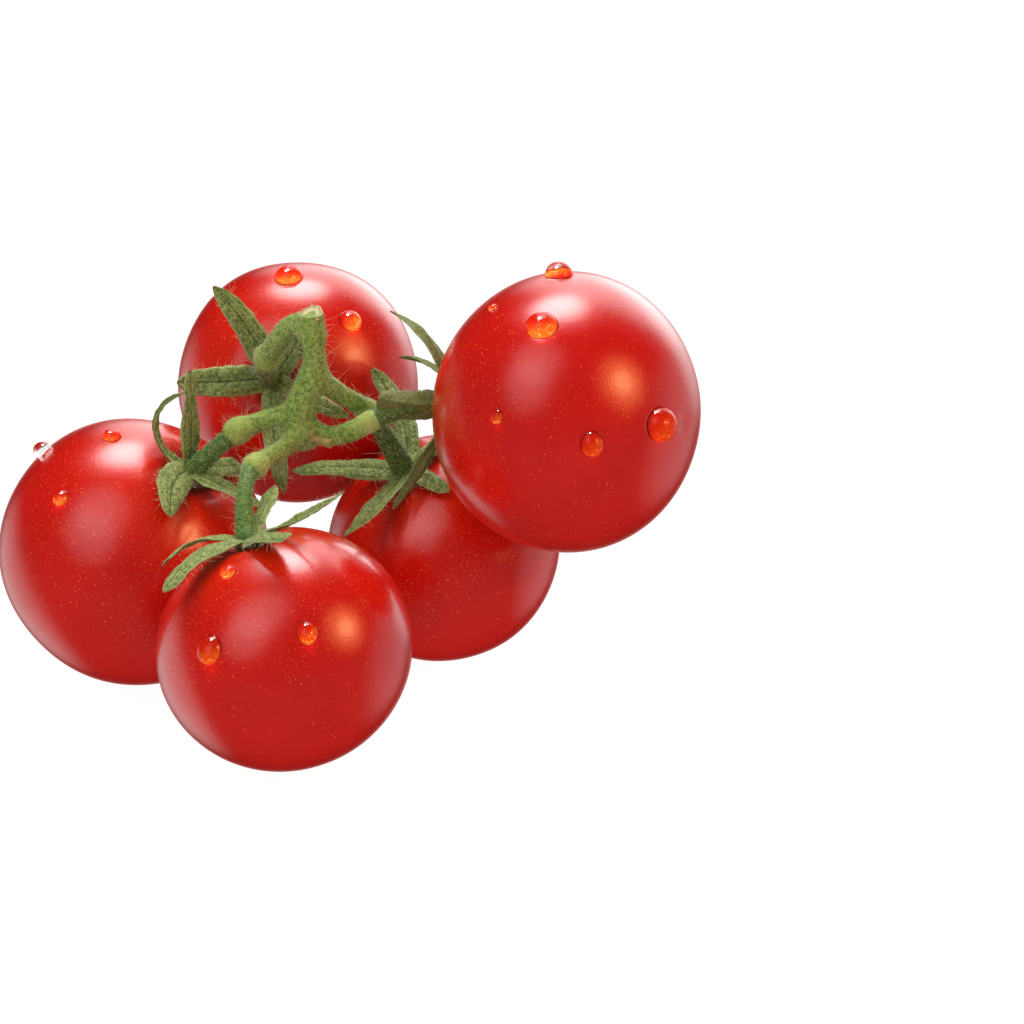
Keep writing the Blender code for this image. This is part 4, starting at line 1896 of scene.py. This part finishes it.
@dataclass
class Studio:
    """Light table, soft lamps, and dark surroundings with lit cloths and white cards."""

    floor_size: float = 6000.0
    fill: float = 0.44
    dark: float = 0.01
    backdrop: str = "#FFFFFF"
    aim: Point = (0.0, 0.0, 30.0)
    lamps: tuple[Softbox, ...] = (
        Softbox("back_softbox", (0.02, 0.46, 0.89), 650, 280, 230, 2.7),
        Softbox("front_left_softbox", (-0.38, -0.48, 0.79), 700, 380, 560, 1.8),
        Softbox("warm_softbox", (0.80, -0.30, 0.52), 600, 130, 130, 0.5, colour="#FFB070"),
        Softbox("back_sparkle", (-0.16, 0.26, 0.95), 650, 230, 200, 9.0, True),
        Softbox("warm_sparkle", (0.68, -0.48, 0.55), 600, 55, 55, 0.9, True, "#FFD27A"),
    )
    cards: tuple[Card, ...] = (
        Card(-3, 60, 3, 20, 10.5),
        Card(-2, 60, 4, 34, 0.6),
        Card(-141, 36, 6, 28, 1.1),
        Card(-141, 58, 6, 28, 1.1),
        Card(113, 30, 3, 25, 4.2, "#FFB46A"),
        Card(113, 30, 0, 11, 8.0, "#FFCE90"),
        Card(18, 22, 12, 35, 2.1),
        Card(-58, -28, 12, 36, 0.8),
        Card(68, -15, 14, 40, 0.5),
        Card(28, 2, 8, 26, 1.0),
        Card(0, -20, 5, 26, 0.55, "#FFB8B0"),
    )

    def build(self, finish: bpy.types.Material, drops: bpy.types.Collection) -> None:
        """Make the floor, the world and the lamps.

        Args:
            finish: the floor's material.
            drops: the drops of water, which the sparkling lamps shine on.
        """
        half = self.floor_size / 2
        square = np.array([(-half, -half, 0), (half, -half, 0), (half, half, 0), (-half, half, 0)])
        mesh = Skin(square, [(0, 1, 2, 3)]).mesh("floor")
        mesh.materials.append(finish)
        floor = bpy.data.objects.new("floor", mesh)
        floor.visible_glossy = False
        bpy.context.scene.collection.objects.link(floor)
        self.surroundings()
        bpy.context.scene.view_settings.view_transform = "Standard"
        for lamp in self.lamps:
            lamp.build(Vector(self.aim), drops)

    def surroundings(self) -> None:
        """Paint the world: even fill light, and a dark mirror image with the cards in it."""
        world = bpy.data.worlds.new("studio")
        world.use_nodes = True
        bpy.context.scene.world = world
        tree = world.node_tree
        ahead = add_node(tree, Kind.AHEAD)
        mirrored: object = (self.dark,) * 3
        for card in self.cards:
            mirrored = add_node(tree, Kind.TOGETHER, mirrored, card.shown(tree, ahead))
        rays = add_node(tree, Kind.RAYS).node.outputs
        even = (self.fill, self.fill, self.fill, 1.0)
        lit = add_node(tree, Kind.MIX, rays["Is Glossy Ray"], even, mirrored)
        seen = add_node(tree, Kind.MIX, rays["Is Camera Ray"], lit, self.backdrop)
        plug(tree, tree.nodes["Background"].inputs["Color"], seen)


FRUITS = {
    fruit.number: fruit
    for fruit in (
        Fruit(1, (-30.8, 0.7, 18.8), 19.8, -29, 56, stands=True),
        Fruit(2, (-8.1, 29.2, 34.1), 17.9, -102, 23),
        Fruit(3, (-8.0, -28.8, 16.9), 18.0, 149, 69, stands=True),
        Fruit(4, (13.7, 8.6, 16.1), 17.1, -140, 63, stands=True),
        Fruit(5, (31.4, -6.9, 43.6), 19.9, 152, -6),
    )
}

# Centre lines of the green parts: x, y, z and radius at each point, from the root outwards.
MAIN_STEM: list[Station] = [
    (-5.9, -4.2, 37.9, 1.30),
    (-6.0, -3.9, 39.6, 1.75),
    (-6.4, -3.8, 41.9, 1.95),
    (-6.0, -3.6, 44.5, 2.05),
    (-4.5, -3.3, 47.8, 1.90),
    (-4.2, -3.1, 50.9, 1.55),
    (-4.4, -2.9, 53.8, 1.65),
    (-4.6, -2.7, 56.9, 1.80),
]
ARMS: dict[int, list[Station]] = {
    1: [
        (-6.2, -3.6, 42.7, 1.6),
        (-8.7, -3.8, 42.0, 1.35),
        (-11.8, -4.1, 41.2, 1.35),
        (-15.2, -4.6, 39.9, 1.45),
    ],
    2: [
        (-4.6, -2.8, 54.0, 1.5),
        (-6.3, -1.4, 54.9, 1.5),
        (-8.1, 0.2, 53.5, 1.5),
        (-9.8, 2.4, 50.6, 1.5),
        (-11.4, 5.5, 47.1, 1.45),
    ],
    3: [
        (-6.0, -4.0, 39.5, 1.6),
        (-8.5, -7.9, 38.7, 1.3),
        (-10.7, -11.8, 38.8, 1.25),
        (-12.3, -15.0, 38.8, 1.3),
    ],
    4: [
        (-4.4, -3.1, 47.6, 1.6),
        (-2.6, -2.0, 46.0, 1.4),
        (-0.5, -1.1, 44.0, 1.3),
        (1.6, 0.0, 42.2, 1.35),
        (3.2, 1.2, 40.4, 1.35),
    ],
    5: [
        (-6.0, -3.8, 39.9, 1.6),
        (-3.9, -4.0, 39.2, 1.4),
        (-1.5, -4.4, 39.1, 1.35),
        (0.9, -4.5, 39.8, 1.4),
        (3.5, -4.1, 41.1, 1.4),
    ],
}
STALKS: dict[int, list[Station]] = {
    1: [(-17.5, -4.8, 38.1, 1.3), (-19.7, -4.6, 35.9, 1.4)],
    2: [(-11.9, 8.2, 44.6, 1.25), (-11.7, 11.2, 42.4, 1.35)],
    3: [(-13.2, -17.6, 38.4, 1.15), (-13.5, -21.0, 36.9, 1.15), (-13.5, -23.6, 34.8, 1.3)],
    4: [(5.0, 2.4, 37.0, 1.35), (6.6, 3.2, 33.8, 1.6)],
    5: [(5.8, -3.0, 41.8, 1.35), (9.1, -1.0, 42.0, 1.35), (11.9, 0.9, 41.6, 1.45)],
}
DRIED_STUB = DriedStub(
    line=[(-6.0, -4.4, 39.3, 0.8), (-4.2, -6.0, 39.2, 0.6), (-1.9, -7.4, 39.0, 0.65)],
    bead=[(-4.7, -5.9, 40.25, 0.385), (-4.7, -5.9, 39.9, 0.55), (-4.7, -5.9, 39.6, 0.44)],
)
SEPALS: dict[int, list[Sepal]] = {
    1: [
        Sepal(28, 17.0, 2.8, 0, 140, -24, 35, 20, 1.7),
        Sepal(-10, 14.5, 4.2, 58, 54, 12, 20, 0, 6),
        Sepal(86, 12.5, 5.2, 16, -18, 60, 20, 0, 4),
        Sepal(164, 12.5, 4.0, 30, 16, 18, 20, 0, 3),
        Sepal(-120, 9.0, 4.2, 16, -20, 14, 20, 0, 4),
    ],
    2: [
        Sepal(16, 17.0, 4.4, 46, 20, 34, 22, 0, 3.5),
        Sepal(104, 15.0, 4.6, 60, 16, -10, 25, 0, 7),
        Sepal(-168, 17.5, 3.6, 34, -10, 6, 20, 0, 4),
        Sepal(-112, 15.0, 3.0, 48, -16, 4, 20, 0, 4),
        Sepal(-44, 15.5, 3.8, 38, 38, 20, 20, 0, 5),
    ],
    3: [
        Sepal(-101, 16.5, 4.6, 20, -38, -6, 5, -12, 5),
        Sepal(-150, 12.5, 2.8, 30, -40, 6, 20, 20, 4),
        Sepal(-36, 14.5, 4.2, 12, -6, 20, 5, 0, 4),
        Sepal(88, 10.0, 3.4, 28, 26, 4, 20, 0, 5),
        Sepal(4, 18.0, 1.9, 6, 20, -2, 40, 40, 4),
    ],
    4: [
        Sepal(126, 16.0, 4.6, 22, 8, 10, 18, 0, 2.4),
        Sepal(-142, 17.0, 3.8, 24, -4, -44, 25, 0, 2.6),
        Sepal(-90, 9.0, 3.4, 14, -25, 5, 20, 0, 3),
        Sepal(36, 17.5, 4.0, 14, 48, 50, 18, 0, 3.5),
        Sepal(-12, 9.5, 3.4, 14, -18, 0, 20, 0, 3),
    ],
    5: [
        Sepal(0, 17.0, 4.2, 10, 82, 36, 20, 0, 4),
        Sepal(40, 13.0, 2.0, 34, 100, 0, 40, 0, 3),
        Sepal(-82, 12.0, 5.8, 34, 30, 28, 8, 0, 8, 62),
        Sepal(-158, 17.5, 2.8, 24, 10, 46, 30, 0, 5),
        Sepal(110, 12.5, 3.4, 15, 0, 0, 20, 0, 3),
    ],
}
DROPS = (
    Drop(1, (45, 452), 2.6, glow=0.5, contact=108),
    Drop(1, (112, 437), 2.9, 0.95, glow=0.5),
    Drop(1, (61, 498), 2.4, 1.1, glow=0.7),
    Drop(2, (289, 277), 4.3, 1.05),
    Drop(2, (350, 321), 3.5, 1.0),
    Drop(3, (229, 572), 2.5, 1.0),
    Drop(3, (210, 650), 3.9, 1.1, glow=0.45),
    Drop(3, (307, 633), 3.0, 1.15, glow=0.6),
    Drop(5, (542, 326), 4.7, 1.0),
    Drop(5, (559, 275), 4.0, 1.0, contact=85),
    Drop(5, (493, 308), 1.4, 1.0, glow=0.8),
    Drop(5, (497, 417), 1.8, 1.2, glow=0.6),
    Drop(5, (592, 444), 3.4, 1.1, glow=0.35),
    Drop(5, (660, 424), 5.2, 0.95, glow=0.25, contact=84),
)


def skin_tree(obj: bpy.types.Object) -> BVHTree:
    """Search tree of a piece's surface."""
    mesh = obj.data
    return BVHTree.FromPolygons([v.co for v in mesh.vertices], [p.vertices for p in mesh.polygons])


def main() -> None:
    """Build the whole truss and its studio."""
    logging.basicConfig(level=logging.INFO, format="%(message)s")
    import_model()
    view = ViewPoint()
    view.build()
    drops = bpy.data.collections.new("drops")
    Studio().build(LightTable().make(), drops)
    draw = np.random.default_rng(SEED)
    red = TomatoSkin().make()
    vine = VineSkin("green_vine_skin", green="#94AA4A", shade="#5E7A2A").make()
    stalk_green = VineSkin("green_stalk_skin", green="#648236", shade="#3A5A1E").make()
    leaf = SepalLeaf().make()
    hair = PlantHair().make()
    trees = {}
    for number, fruit in FRUITS.items():
        trees[number] = skin_tree(fruit.build(red))
    stem = Stem(MAIN_STEM, ARMS, STALKS, CutEnd(), DRIED_STUB)
    stem.build(vine, CutStem().make(), DriedStalk().make(), hair, draw)
    for number, fruit in FRUITS.items():
        calyx = Calyx(fruit, ARMS[number][-1], STALKS[number], SEPALS[number])
        calyx.build(stalk_green, leaf, hair, draw)
    # The sheets under the drops carry painted caustic light and a painted glow.
    water, wet = WaterFilm().make(), CausticPaintedSkin().make()
    for index, drop in enumerate(DROPS, start=1):
        drops.objects.link(drop.build(index, trees[drop.fruit], view, water, wet))
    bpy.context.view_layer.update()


if __name__ == "__main__":
    main()
